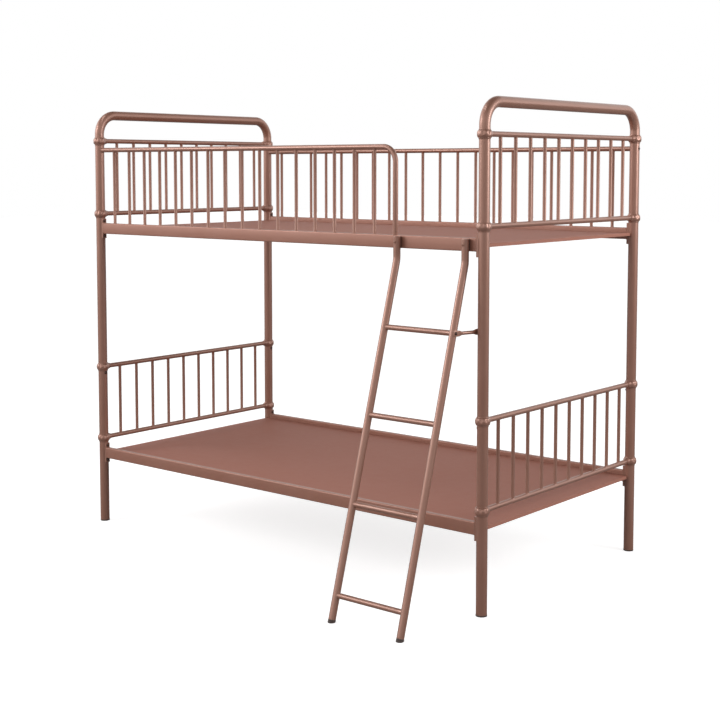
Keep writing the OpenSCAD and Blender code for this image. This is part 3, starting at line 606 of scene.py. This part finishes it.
def socket():
    """The rail's socket along +Y: a bar whose near end flares onto the bulb's round and whose far end
    has a quarter-round rim, then steps in to the rail."""
    land = POST_R + BULGE - SOCKET_SINK
    t = np.linspace(math.pi / 2, 0, 6)[:, None]
    angle = np.linspace(0, 2 * math.pi, 40, endpoint=False)
    reach = SOCKET_R + SOCKET_FLARE * (1 - np.cos(t))
    x, z = reach * np.cos(angle), reach * np.sin(angle)
    base = np.stack([x, np.sqrt(land**2 - x**2) + SOCKET_FLARE * (1 - np.sin(t)), z], -1)
    rim = np.linspace(0, math.pi / 2, 6)[:, None]
    radius = np.vstack([SOCKET_R - SOCKET_EDGE * (1 - np.cos(rim)), [[RAIL_R - SOCKET_STEP]]])
    along = SOCKET_REACH - SOCKET_EDGE * (1 - np.sin(np.vstack([rim, [[math.pi / 2]]])))
    top = np.stack([radius * np.cos(angle), along + 0 * angle, radius * np.sin(angle)], -1)
    return skin(np.concatenate([base, top]), SOCKET_WEAR)


# %% Castings on all posts
casting = joined([bulb(), socket()])
backwards = [-X_WAY, -Y_WAY, Z_WAY]
for end, x in ENDS.items():
    for floor in ("upper", "lower"):
        heights = [LEVELS[f"{floor}_low"], LEVELS[f"{floor}_top"]]
        four = [turned(casting, np.eye(3), (x, FRONT_Y, z)) for z in heights]
        four += [turned(casting, backwards, (x, BACK_Y, z)) for z in heights]
        piece(f"{end}_{floor}_castings", joined(four), casting_paint,
              [f"{end}_{floor}_knuckles"], crease=50)
print("casting triangles", 2 * len(casting[2]) + len(casting[3]))

# %% [markdown]
# ## Side rails
#
# The four side rails are rectangular tube with rounded corners. Their soft upper corner gives the
# bright line that runs the length of the bed. Each end is welded all round to its end plate, so a
# rippled bead follows the tube's outline there.

# %% Box tube and its weld beads
CORNER_R = 4.0 * MM
CORNER_WEAR = 0.5
BEAD_R = 1.6 * MM
BEAD_SINK = 0.35
BEAD_WEAR = 0.15
RIPPLE_DEPTH = 0.12
RIPPLE_POINTS = 5


def box_outline(half_w, half_h, radius, steps):
    """Outline of a rounded box: four quarter circles, one round each corner's centre. Returns points
    and the outward directions there."""
    quarter = np.linspace(0, math.pi / 2, steps + 1)
    angle = np.concatenate([quarter + math.pi / 2 * n for n in range(4)])
    signs = np.repeat([[1, 1], [-1, 1], [-1, -1], [1, -1]], steps + 1, axis=0)
    away = np.stack([np.cos(angle), np.sin(angle)], -1)
    return signs * [half_w - radius, half_h - radius] + radius * away, away


def box_tube(middle, half):
    """A closed box tube along X that fills a box, with slightly eased ends."""
    ease = 0.5 * MM
    outline, away = box_outline(half[1], half[2], CORNER_R, 7)
    insets = np.array([ease, 0, 0, ease])
    along = np.array([-half[0], ease - half[0], half[0] - ease, half[0]])
    flat = outline - insets[:, None, None] * away
    rings = np.concatenate([np.broadcast_to(along[:, None, None], (4, len(outline), 1)), flat], -1)
    corner = np.abs(away).min(1) * CORNER_WEAR
    return skin(rings + middle, corner)


def weld_bead(middle, half, ripples=46):
    """A bead round a box tube's end: a small circle carried round the outline, whose radius ripples as
    cos(n a)."""
    outline, away = box_outline(half[1], half[2], CORNER_R, 7)
    outline = np.vstack([outline, outline[:1]])
    away = np.vstack([away, away[:1]])
    length = np.concatenate([[0], np.cumsum(np.linalg.norm(np.diff(outline, axis=0), axis=1))])
    at = np.linspace(0, length[-1], ripples * RIPPLE_POINTS, endpoint=False)
    line = np.stack([np.interp(at, length, outline[:, n]) for n in (0, 1)], -1)
    out = np.stack([np.interp(at, length, away[:, n]) for n in (0, 1)], -1)
    out /= np.linalg.norm(out, axis=1, keepdims=True)
    ripple = np.cos(2 * math.pi * np.arange(len(at)) / RIPPLE_POINTS)
    radius = BEAD_R * (1 + RIPPLE_DEPTH * ripple)[:, None]
    angle = np.linspace(0, 2 * math.pi, 10, endpoint=False)
    proud = (radius * np.cos(angle))[..., None] * out[:, None]
    flat = line[:, None] + proud - BEAD_SINK * BEAD_R * out[:, None]
    across = (radius * np.sin(angle))[..., None]
    return skin(np.concatenate([across, flat], -1) + middle, BEAD_WEAR, torus=True)


# %% Four side rails and eight beads
beads = []
for floor in ("upper", "lower"):
    for row in ("front", "back"):
        middle, half = span(f"{floor}_{row}_side_rail")
        piece(f"{floor}_{row}_box_rail", box_tube(middle, half), rail_paint,
              [f"{floor}_{row}_side_rail"])
        beads += [weld_bead(middle + side * (half[0] - BEAD_R) * X_WAY, half) for side in (-1, 1)]
piece("rail_end_welds", joined(beads), rail_paint)
UPPER_RAIL_TOP = sum(part[2] for part in span("upper_front_side_rail"))
SIDE_RAIL_HALF_W = span("upper_front_side_rail")[1][1]
print("upper side rail top", round(UPPER_RAIL_TOP, 4))

# %% [markdown]
# ## Decks
#
# A painted board lies in each frame and is scooped round the four posts. A cube with a bevel has no
# scoops, so the board's outline is worked out once and stacked: rings of the outline, shrunk a little
# near the faces, make the eased edge that catches the light. Edges stay crisp from 8 degrees here,
# because smooth shading would spread from the eased edge over the whole flat face as faint rays.

# %% Deck boards
SCOOP_R = POST_R + 1.5 * MM
DECK_EDGE = 1.6 * MM
DECK_CREASE = 8
DECK_WEAR = 0.6


def deck_outline(half_x, half_y, post):
    """A rectangle whose corners are cut by circles round the posts. Each arc runs between the points
    where its circle crosses the two edges."""
    across = math.asin((post[0] - half_x) / SCOOP_R)
    down = math.acos((post[1] - half_y) / SCOOP_R)
    angle = np.linspace(math.pi * 1.5 - across, math.pi * 1.5 - down, 9)
    arc = np.array(post) + SCOOP_R * np.stack([np.cos(angle), np.sin(angle)], -1)
    return np.vstack([arc, arc[::-1] * [-1, 1], arc * [-1, -1], arc[::-1] * [1, -1]])


def board(node):
    """A closed board over a node's box, with quarter-round edges on both faces. A point moves in along
    the mitre of its two edges, (before + after) / (1 + before . after) of their normals. Only the
    edges are rubbed."""
    middle, half = span(node)
    post = np.array([POST_X, (BACK_Y - FRONT_Y) / 2])
    outline = deck_outline(half[0], half[1], post)
    edges = np.roll(outline, -1, 0) - outline
    after = np.stack([edges[:, 1], -edges[:, 0]], -1) / np.linalg.norm(edges, axis=1, keepdims=True)
    before = np.roll(after, 1, 0)
    away = (before + after) / (1 + (before * after).sum(1, keepdims=True))
    t = np.linspace(0, math.pi / 2, 6)
    inset = DECK_EDGE * (1 - np.sin(t))
    height = half[2] - DECK_EDGE * (1 - np.cos(t))
    inset = np.concatenate([inset, inset[::-1]])[:, None, None]
    height = np.concatenate([-height, height[::-1]])
    rub = np.full((len(height), 1), DECK_WEAR)
    rub[[0, -1]] = 0
    flat = outline - inset * away
    rings = np.concatenate([flat, np.broadcast_to(height[:, None, None], (*flat.shape[:2], 1))], -1)
    return skin(rings + middle, rub)


for floor in ("upper", "lower"):
    piece(f"{floor}_deck_board", board(f"{floor}_deck"), deck_paint, [f"{floor}_deck"],
          crease=DECK_CREASE)
print("deck boards", span("upper_deck")[1] * 2)

# %% [markdown]
# ## Guards
#
# A slim tube runs along each side of the upper bunk. The front one turns down in one bend and lands on
# the side rail, which leaves the ladder's way in open. The spindles below it stand on the side rail,
# whose top is flat in the middle and falls away at its rounded corners, and their upper ends are cut to
# the guard tube's round.

# %% Guard tubes and their spindles
guard_mid, guard_half = span("back_guard_rail")
GUARD_R = guard_half[2]
GUARD_Z = guard_mid[2]
GUARD_BEND_R = 52 * MM
GUARD_SPACES = 21
FRONT_SPACES = 17
guard_low, guard_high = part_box("front_guard_rail")
GUARD_END_X = guard_high[0] - GUARD_R
guard_pitch = 2 * POST_X / GUARD_SPACES
COLLAR_H = 12 * MM
COLLAR_R = GUARD_R - 0.2 * MM
COLLAR_EDGE_X = 9.4 * MM


def box_top(x):
    """Height of a side rail's top over its highest line: level, then down the corner's quarter circle."""
    over = np.clip(np.abs(x) - (SIDE_RAIL_HALF_W - CORNER_R), 0, CORNER_R)
    return np.sqrt(CORNER_R**2 - over**2) - CORNER_R


def collar_foot(x):
    """The rail's top under the end post's weld: box_top, kept level from COLLAR_EDGE_X outwards."""
    return box_top(np.clip(x, -COLLAR_EDGE_X, COLLAR_EDGE_X))


def guard_bars(first, last, y):
    """Guard spindles number first to last, counted in spaces from the left post."""
    bar = bar_between(GUARD_Z - UPPER_RAIL_TOP, SPINDLE_R, WELD, box_top, round_top(GUARD_R))
    bar = turned(bar, [Y_WAY, X_WAY, Z_WAY])
    xs = guard_pitch * np.arange(first, last + 1) - POST_X
    return copies(bar, np.stack([xs, np.full(len(xs), y), np.full(len(xs), UPPER_RAIL_TOP)], -1))


corners = [(guard_low[0], FRONT_Y, GUARD_Z), (GUARD_END_X, FRONT_Y, GUARD_Z),
           (GUARD_END_X, FRONT_Y, UPPER_RAIL_TOP - CORNER_R / 2)]
front_tube = tube(bent_line(corners, GUARD_BEND_R, 24), GUARD_R, Y_WAY, sides=40)
collar = bar_between(COLLAR_H, COLLAR_R, WELD, collar_foot, lambda x: 0 * x, sides=40)
collar = turned(collar, [Y_WAY, X_WAY, Z_WAY], (GUARD_END_X, FRONT_Y, UPPER_RAIL_TOP))
piece("front_guard_tube", front_tube, tube_paint, ["front_guard_rail"])
back_ends = guard_mid + np.outer([-1, 1], guard_half * X_WAY)
piece("back_guard_tube", tube(back_ends, GUARD_R, Y_WAY, sides=40), tube_paint,
      ["back_guard_rail"])
piece("front_guard_bars", guard_bars(1, FRONT_SPACES - 1, FRONT_Y), tube_paint,
      ["front_guard_spindles"])
piece("back_guard_bars", guard_bars(1, GUARD_SPACES - 1, BACK_Y), tube_paint,
      ["back_guard_spindles"])
piece("guard_post_weld", collar, tube_paint)
print("guard end at x", round(GUARD_END_X, 4), "pitch", round(guard_pitch, 4))

# %% [markdown]
# ## Ladder
#
# Two tubes stand against the upper side rail and lean out below a gentle bend, 7 across for every 24
# down. The rungs are bars between them: their fillets land on the rails' round, seen along the slope.
# Steps wear first in the middle of their tops, so the rungs carry a soft patch of wear there.

# %% Ladder rails
LEAN = math.atan2(7, 24)
LADDER_BEND_R = 84 * MM
ladder_low, ladder_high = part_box("left_ladder_rail")
LADDER_R = (ladder_high[0] - ladder_low[0]) / 2
LADDER_TOP_Z = ladder_high[2]
LADDER_Y = ladder_high[1] - LADDER_R
foot_low, foot_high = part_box("ladder_feet")
FOOT_R = foot_high[0] - span("right_ladder_rail")[0][0]
FOOT_Y = foot_low[1] + FOOT_R / math.cos(LEAN)
KINK_Z = (LADDER_Y - FOOT_Y) / math.tan(LEAN)
FOOT_CAP = 9 * MM
DOWN_WAY = np.array([0.0, -math.sin(LEAN), -math.cos(LEAN)])
LADDER_X = {"left": span("left_ladder_rail")[0][0], "right": span("right_ladder_rail")[0][0]}


def ladder_rail(x):
    """A ladder rail: straight down its top part, an arc, and the leaning part to the foot cap."""
    foot = np.array([x, FOOT_Y, 0.0]) - FOOT_CAP * DOWN_WAY
    corners = [(x, LADDER_Y, LADDER_TOP_Z), (x, LADDER_Y, KINK_Z), foot]
    return tube(bent_line(corners, LADDER_BEND_R, 16), LADDER_R, X_WAY, edge=1.2 * MM, sides=44)


for side, x in LADDER_X.items():
    piece(f"{side}_ladder_tube", ladder_rail(x), ladder_paint, [f"{side}_ladder_rail"])
print("ladder kink at", round(KINK_Z, 4), "foot y", round(FOOT_Y, 4))

# %% Rungs
RUNG_WELD = 2.2 * MM
RUNG_WEAR = 0.9
OUT_WAY = np.cross(X_WAY, -DOWN_WAY)
for name in ("first", "second", "third", "fourth"):
    middle, half = span(f"{name}_rung")
    gap = LADDER_X["right"] - LADDER_X["left"]
    rung = bar_between(gap, half[2], RUNG_WELD, round_top(LADDER_R), round_top(LADDER_R), sides=36,
                       trodden=RUNG_WEAR)
    start = np.array([LADDER_X["left"], middle[1], middle[2]])
    rung = turned(rung, [OUT_WAY, -DOWN_WAY, X_WAY], start)
    piece(f"{name}_rung_bar", rung, ladder_paint, [f"{name}_rung"])
print("rungs span", round(gap, 4))

# %% [markdown]
# ## Ladder stay
#
# A short bar ties the ladder to the front right post. It is a round rod whose ends were pressed flat for
# their bolts, so its section changes from a circle to a flat oblong. One formula covers both: each ring
# is a superellipse whose half height, half thickness and squareness blend along the rod.

# %% The stay, pressed flat at both ends
STAY_R = 6 * MM
STAY_HALF_T = 1.5 * MM
STAY_HALF_H = 10 * MM
STAY_BITE = 0.8 * MM
STAY_TAIL = 11 * MM
STAY_FLAT = 13 * MM
STAY_BLEND = 15 * MM
STAY_WEAR = 0.3
stay_z = span("fourth_rung")[0][2]
ladder_at = np.array([LADDER_X["right"], LADDER_Y - (KINK_Z - stay_z) * math.tan(LEAN)])
across = np.array([POST_X, FRONT_Y]) - ladder_at
offsets = LADDER_R + POST_R + 2 * (STAY_HALF_T - STAY_BITE)
stay_turn = math.atan2(across[1], across[0]) + math.asin(offsets / np.linalg.norm(across))
stay_length = math.sqrt(across @ across - offsets**2)


def smooth_step(t):
    """0 below 0 and 1 above 1, with 3 t^2 - 2 t^3 between."""
    t = np.clip(t, 0, 1)
    return t * t * (3 - 2 * t)


def stay():
    """Rings across the stay's X. A ring is (half_t * c|c|^(p-1), half_h * s|s|^(p-1)) with c, s = cos
    a, sin a: p is 1 on the round part and falls to 0.35 on the flats, which squares the section."""
    ends = np.array([0, 0.3, 0.8, 1.5]) * MM
    grow = np.array([0.55, 0.8, 0.95, 1.0])
    inner = np.linspace(1.5 * MM - STAY_TAIL, stay_length + STAY_TAIL - 1.5 * MM, 48)[1:-1]
    along = np.concatenate([ends - STAY_TAIL, inner, (stay_length + STAY_TAIL - ends)[::-1]])
    size = np.concatenate([grow, np.ones(len(inner)), grow[::-1]])[:, None]
    from_end = np.minimum(along, stay_length - along)
    roundness = smooth_step((from_end - STAY_FLAT) / STAY_BLEND)[:, None]
    half_t = (STAY_HALF_T + (STAY_R - STAY_HALF_T) * roundness) * size
    half_h = (STAY_HALF_H + (STAY_R - STAY_HALF_H) * roundness) * (1 - (1 - size) * 0.25)
    power = 0.35 + 0.65 * roundness
    angle = np.linspace(0, 2 * math.pi, 40, endpoint=False)
    c, s = np.cos(angle), np.sin(angle)
    y = half_t * np.sign(c) * np.abs(c) ** power
    z = half_h * np.sign(s) * np.abs(s) ** power
    return skin(np.stack([along[:, None] + 0 * angle, y, z], -1), STAY_WEAR * (1 - roundness))


turn_x = np.array([math.cos(stay_turn), math.sin(stay_turn), 0.0])
turn_y = np.array([-math.sin(stay_turn), math.cos(stay_turn), 0.0])
stay_at = np.array([*ladder_at, stay_z]) - (LADDER_R + STAY_HALF_T - STAY_BITE) * turn_y
piece("ladder_stay_rod", turned(stay(), [turn_x, turn_y, Z_WAY], stay_at), ladder_paint,
      ["ladder_stay"])
print("stay length", round(stay_length, 4))

# %% [markdown]
# ## Feet
#
# A moulded glide closes each post, and a rubber cap is cut level with the floor at the foot of each
# ladder rail. Both are turned shapes, so each is a profile spun round an axis. The ladder's cap has two
# fine grooves, and its lowest ring is sheared along the axis until it lies flat on the floor.

# %% Glides and ladder feet
def spun(profile, wear, sides=48):
    """Rings round +Z through (radius, height) pairs."""
    angle = np.linspace(0, 2 * math.pi, sides, endpoint=False)
    radius, height = np.array(profile).T[..., None]
    return skin(np.stack([radius * np.cos(angle), radius * np.sin(angle), height + 0 * angle], -1), wear)


GLIDE_R = POST_R + 0.5 * MM
GLIDE_EDGE = 1.2 * MM
GLIDE_BEVEL = 0.4 * MM
PLUG_R = POST_R - 2 * MM
PLUG_H = 8 * MM
FOOT_WEAR = 0.1
round_over = np.linspace(0, math.pi / 2, 5)
glide = [(GLIDE_R - GLIDE_EDGE * (1 - np.sin(a)), GLIDE_EDGE * (1 - np.cos(a))) for a in round_over]
glide += [(GLIDE_R, POST_FOOT_Z - GLIDE_BEVEL), (GLIDE_R - GLIDE_BEVEL, POST_FOOT_Z)]
glide += [(PLUG_R, POST_FOOT_Z), (PLUG_R, POST_FOOT_Z + PLUG_H)]
glide_places = [(x, y, 0.0) for x in ENDS.values() for y in (FRONT_Y, BACK_Y)]
glides = copies(spun(glide, FOOT_WEAR), glide_places)
piece("post_glide_caps", glides, foot_rubber, ["post_glides"])


def ladder_foot(x):
    """Rings round the leaning axis, some with a groove. The lowest ring is level with the floor, and
    the others' tilt fades to square at the cap's top: along = height + level * (1 - height / cap)."""
    height = np.array([0, 0.6, 2.2, 2.6, 3.0, 4.6, 5.0, 5.4, 8.3, 9.0, 9.0, 16.0])[:, None] * MM
    inset = np.array([0.6, 0, 0, 0.35, 0, 0, 0.35, 0, 0, 0.5, 1.9, 1.9])[:, None] * MM
    angle = np.linspace(0, 2 * math.pi, 44, endpoint=False)
    sideways = (FOOT_R - inset) * np.sin(angle)
    out = (FOOT_R - inset) * np.cos(angle)
    level = out * OUT_WAY[2] / DOWN_WAY[2]
    along = height + level * np.clip(1 - height / FOOT_CAP, 0, 1)
    axis_foot = np.array([x, FOOT_Y, 0.0])
    rings = axis_foot + sideways[..., None] * X_WAY + out[..., None] * OUT_WAY
    return skin(rings - along[..., None] * DOWN_WAY, FOOT_WEAR)


feet = joined([ladder_foot(x) for x in LADDER_X.values()])
piece("ladder_foot_caps", feet, foot_rubber, ["ladder_feet"])
print("glides and feet:", len(glide_places), "and", len(LADDER_X))

# %% [markdown]
# ## Pieces that keep their CAD mesh
#
# Bolts, plates, bearers and the pieces inside the tubes are right as the frame has them. They only need
# a finish, set in their material slots.

# %% Finishes of the carried-over nodes
kept_finishes = {
    "rail_end_plates": tube_paint,
    "rail_bolts": bolt_metal,
    "rail_weld_nuts": plain_steel,
    "connector_sleeves": plain_steel,
    "connector_bolts": bolt_metal,
    "upper_bearers": bearer_paint,
    "lower_bearers": bearer_paint,
    "upper_support_angles": bearer_paint,
    "lower_support_angles": bearer_paint,
    "guard_end_plugs": plain_steel,
    "guard_bolts": bolt_metal,
    "stay_bolts": bolt_metal,
    "ladder_saddles": foot_rubber,
    "ladder_bolts": ladder_paint,
    "ladder_inserts": plain_steel,
}
for node, finish in kept_finishes.items():
    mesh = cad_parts[node].data
    mesh.materials.clear()
    mesh.materials.append(finish)
print("kept nodes:", len(kept_finishes), "new pieces:", len(pieces_made))
print("triangles of the new pieces:", sum(pieces_made.values()))

# %% [markdown]
# ## Studio
#
# The camera stands at adult eye height off the bed's front right corner, with a long lens.

# %% Camera
VIEW_YAW = math.radians(39.675)
VIEW_PITCH = math.radians(4.49)
camera_data = bpy.data.cameras.new("camera")
camera_data.lens = 67.56
camera_data.sensor_width = 36.0
camera_data.shift_y = -0.12
camera_data.clip_end = 60.0
camera = bpy.data.objects.new("camera", camera_data)
camera.location = (3.487, -3.999, 1.500)
camera.rotation_euler = (math.pi / 2 - VIEW_PITCH, 0.0, VIEW_YAW)
bpy.context.scene.collection.objects.link(camera)
bpy.context.scene.camera = camera
bpy.context.scene.view_settings.view_transform = "Standard"

# %% [markdown]
# A white set would light the bed from all round and leave its tubes flat. So the camera sees a pale
# floor and a white surround, while every other ray meets a darker floor and a graded surround: brightest
# to both sides, less bright behind the camera and beyond the bed, and dark overhead. Round tubes then
# keep a darker middle between two bright sides.

# %% Floor
FLOOR_HALF = 30.0
FLOOR_SEEN = (0.6, 0.6, 0.6)
FLOOR_LIT = (0.34, 0.34, 0.34)
FLOOR_GLOW = (0.72, 0.72, 0.72)


def camera_only(tree, seen, lit):
    """A colour that camera rays see as seen, and that every other ray meets as lit."""
    path = tree.nodes.new("ShaderNodeLightPath")
    return blend_colours(tree, path.outputs["Is Camera Ray"], (*lit, 1), (*seen, 1))


floor_paint = bpy.data.materials.new("studio_floor")
floor_paint.use_nodes = True
floor_tree = floor_paint.node_tree
floor_shader = floor_tree.nodes["Principled BSDF"]
floor_shader.inputs["Roughness"].default_value = 0.9
floor_shader.inputs["Specular IOR Level"].default_value = 0.1
floor_shader.inputs["Emission Strength"].default_value = 1.0
floor_colour = camera_only(floor_tree, FLOOR_SEEN, FLOOR_LIT)
floor_tree.links.new(floor_colour, floor_shader.inputs["Base Color"])
floor_glow = camera_only(floor_tree, FLOOR_GLOW, (0, 0, 0))
floor_tree.links.new(floor_glow, floor_shader.inputs["Emission Color"])
floor_mesh = bpy.data.meshes.new("studio_floor")
floor_mesh.from_pydata([(-FLOOR_HALF, -FLOOR_HALF, 0), (FLOOR_HALF, -FLOOR_HALF, 0),
                        (FLOOR_HALF, FLOOR_HALF, 0), (-FLOOR_HALF, FLOOR_HALF, 0)], [], [(0, 1, 2, 3)])
floor_mesh.materials.append(floor_paint)
studio_floor = bpy.data.objects.new("studio_floor", floor_mesh)
bpy.context.scene.collection.objects.link(studio_floor)

# %% Surround
SURROUND_SIDE = 1.0
SURROUND_TOP = 0.05
SURROUND_LEFT = 0.25
SURROUND_BOTH = 0.75
FADE_FROM = 0.45
FADE_TO = 0.85
LEFT_WAY = (-0.77, -0.64)
world = bpy.data.worlds.new("studio")
bpy.context.scene.world = world
world.use_nodes = True
sky = world.node_tree
sky_way = sky.nodes.new("ShaderNodeTexCoord").outputs["Generated"]
sky_parts = sky.nodes.new("ShaderNodeSeparateXYZ")
sky.links.new(sky_way, sky_parts.inputs["Vector"])
height = sky.nodes.new("ShaderNodeMapRange")
height.interpolation_type = "SMOOTHSTEP"
height.inputs["From Min"].default_value = FADE_FROM
height.inputs["From Max"].default_value = FADE_TO
height.inputs["To Min"].default_value = SURROUND_SIDE
height.inputs["To Max"].default_value = SURROUND_TOP
sky.links.new(sky_parts.outputs["Z"], height.inputs["Value"])
# left is a ray's share along LEFT_WAY; the level is 1 + left * (SURROUND_LEFT + SURROUND_BOTH * left).
leftward = math_node(sky, "ADD", math_node(sky, "MULTIPLY", sky_parts.outputs["X"], LEFT_WAY[0]),
                     math_node(sky, "MULTIPLY", sky_parts.outputs["Y"], LEFT_WAY[1]))
sided = math_node(sky, "MULTIPLY_ADD", leftward, SURROUND_BOTH, SURROUND_LEFT)
sided = math_node(sky, "MULTIPLY_ADD", leftward, sided, 1.0)
lit_level = math_node(sky, "MULTIPLY", height.outputs["Result"], sided)
path = sky.nodes.new("ShaderNodeLightPath")
shown = blend_colours(sky, path.outputs["Is Camera Ray"], lit_level, (1, 1, 1, 1))
sky.links.new(shown, sky.nodes["Background"].inputs["Color"])

# %% [markdown]
# Three soft lights model the form: a large one from the front left, a long narrow one overhead, which
# draws the line of light along the top bars, and a small one on the right that opens up the end panels.

# %% Lights
def soft_light(name, place, target, size, power):
    """A rectangular area light at a place, turned to face a target."""
    data = bpy.data.lights.new(name, "AREA")
    data.shape = "RECTANGLE"
    data.size, data.size_y = size
    data.energy = power
    lamp = bpy.data.objects.new(name, data)
    way = np.array(target, float) - np.array(place, float)
    flat = math.hypot(way[0], way[1])
    tilt = math.pi / 2 + math.atan2(way[2], flat)
    lamp.rotation_euler = (tilt, 0.0, math.atan2(way[1], way[0]) - math.pi / 2)
    lamp.location = place
    bpy.context.scene.collection.objects.link(lamp)


soft_light("key_left", (-3.4, -3.8, 3.2), (0, 0, 0.9), (1.6, 2.4), 90)
soft_light("top_strip", (-0.6, -1.2, 4.4), (0, 0, 0.9), (3.0, 0.6), 26)
soft_light("fill_right", (3.3, 1.0, 1.9), (0.97, 0.2, 1.4), (1.2, 1.2), 34)
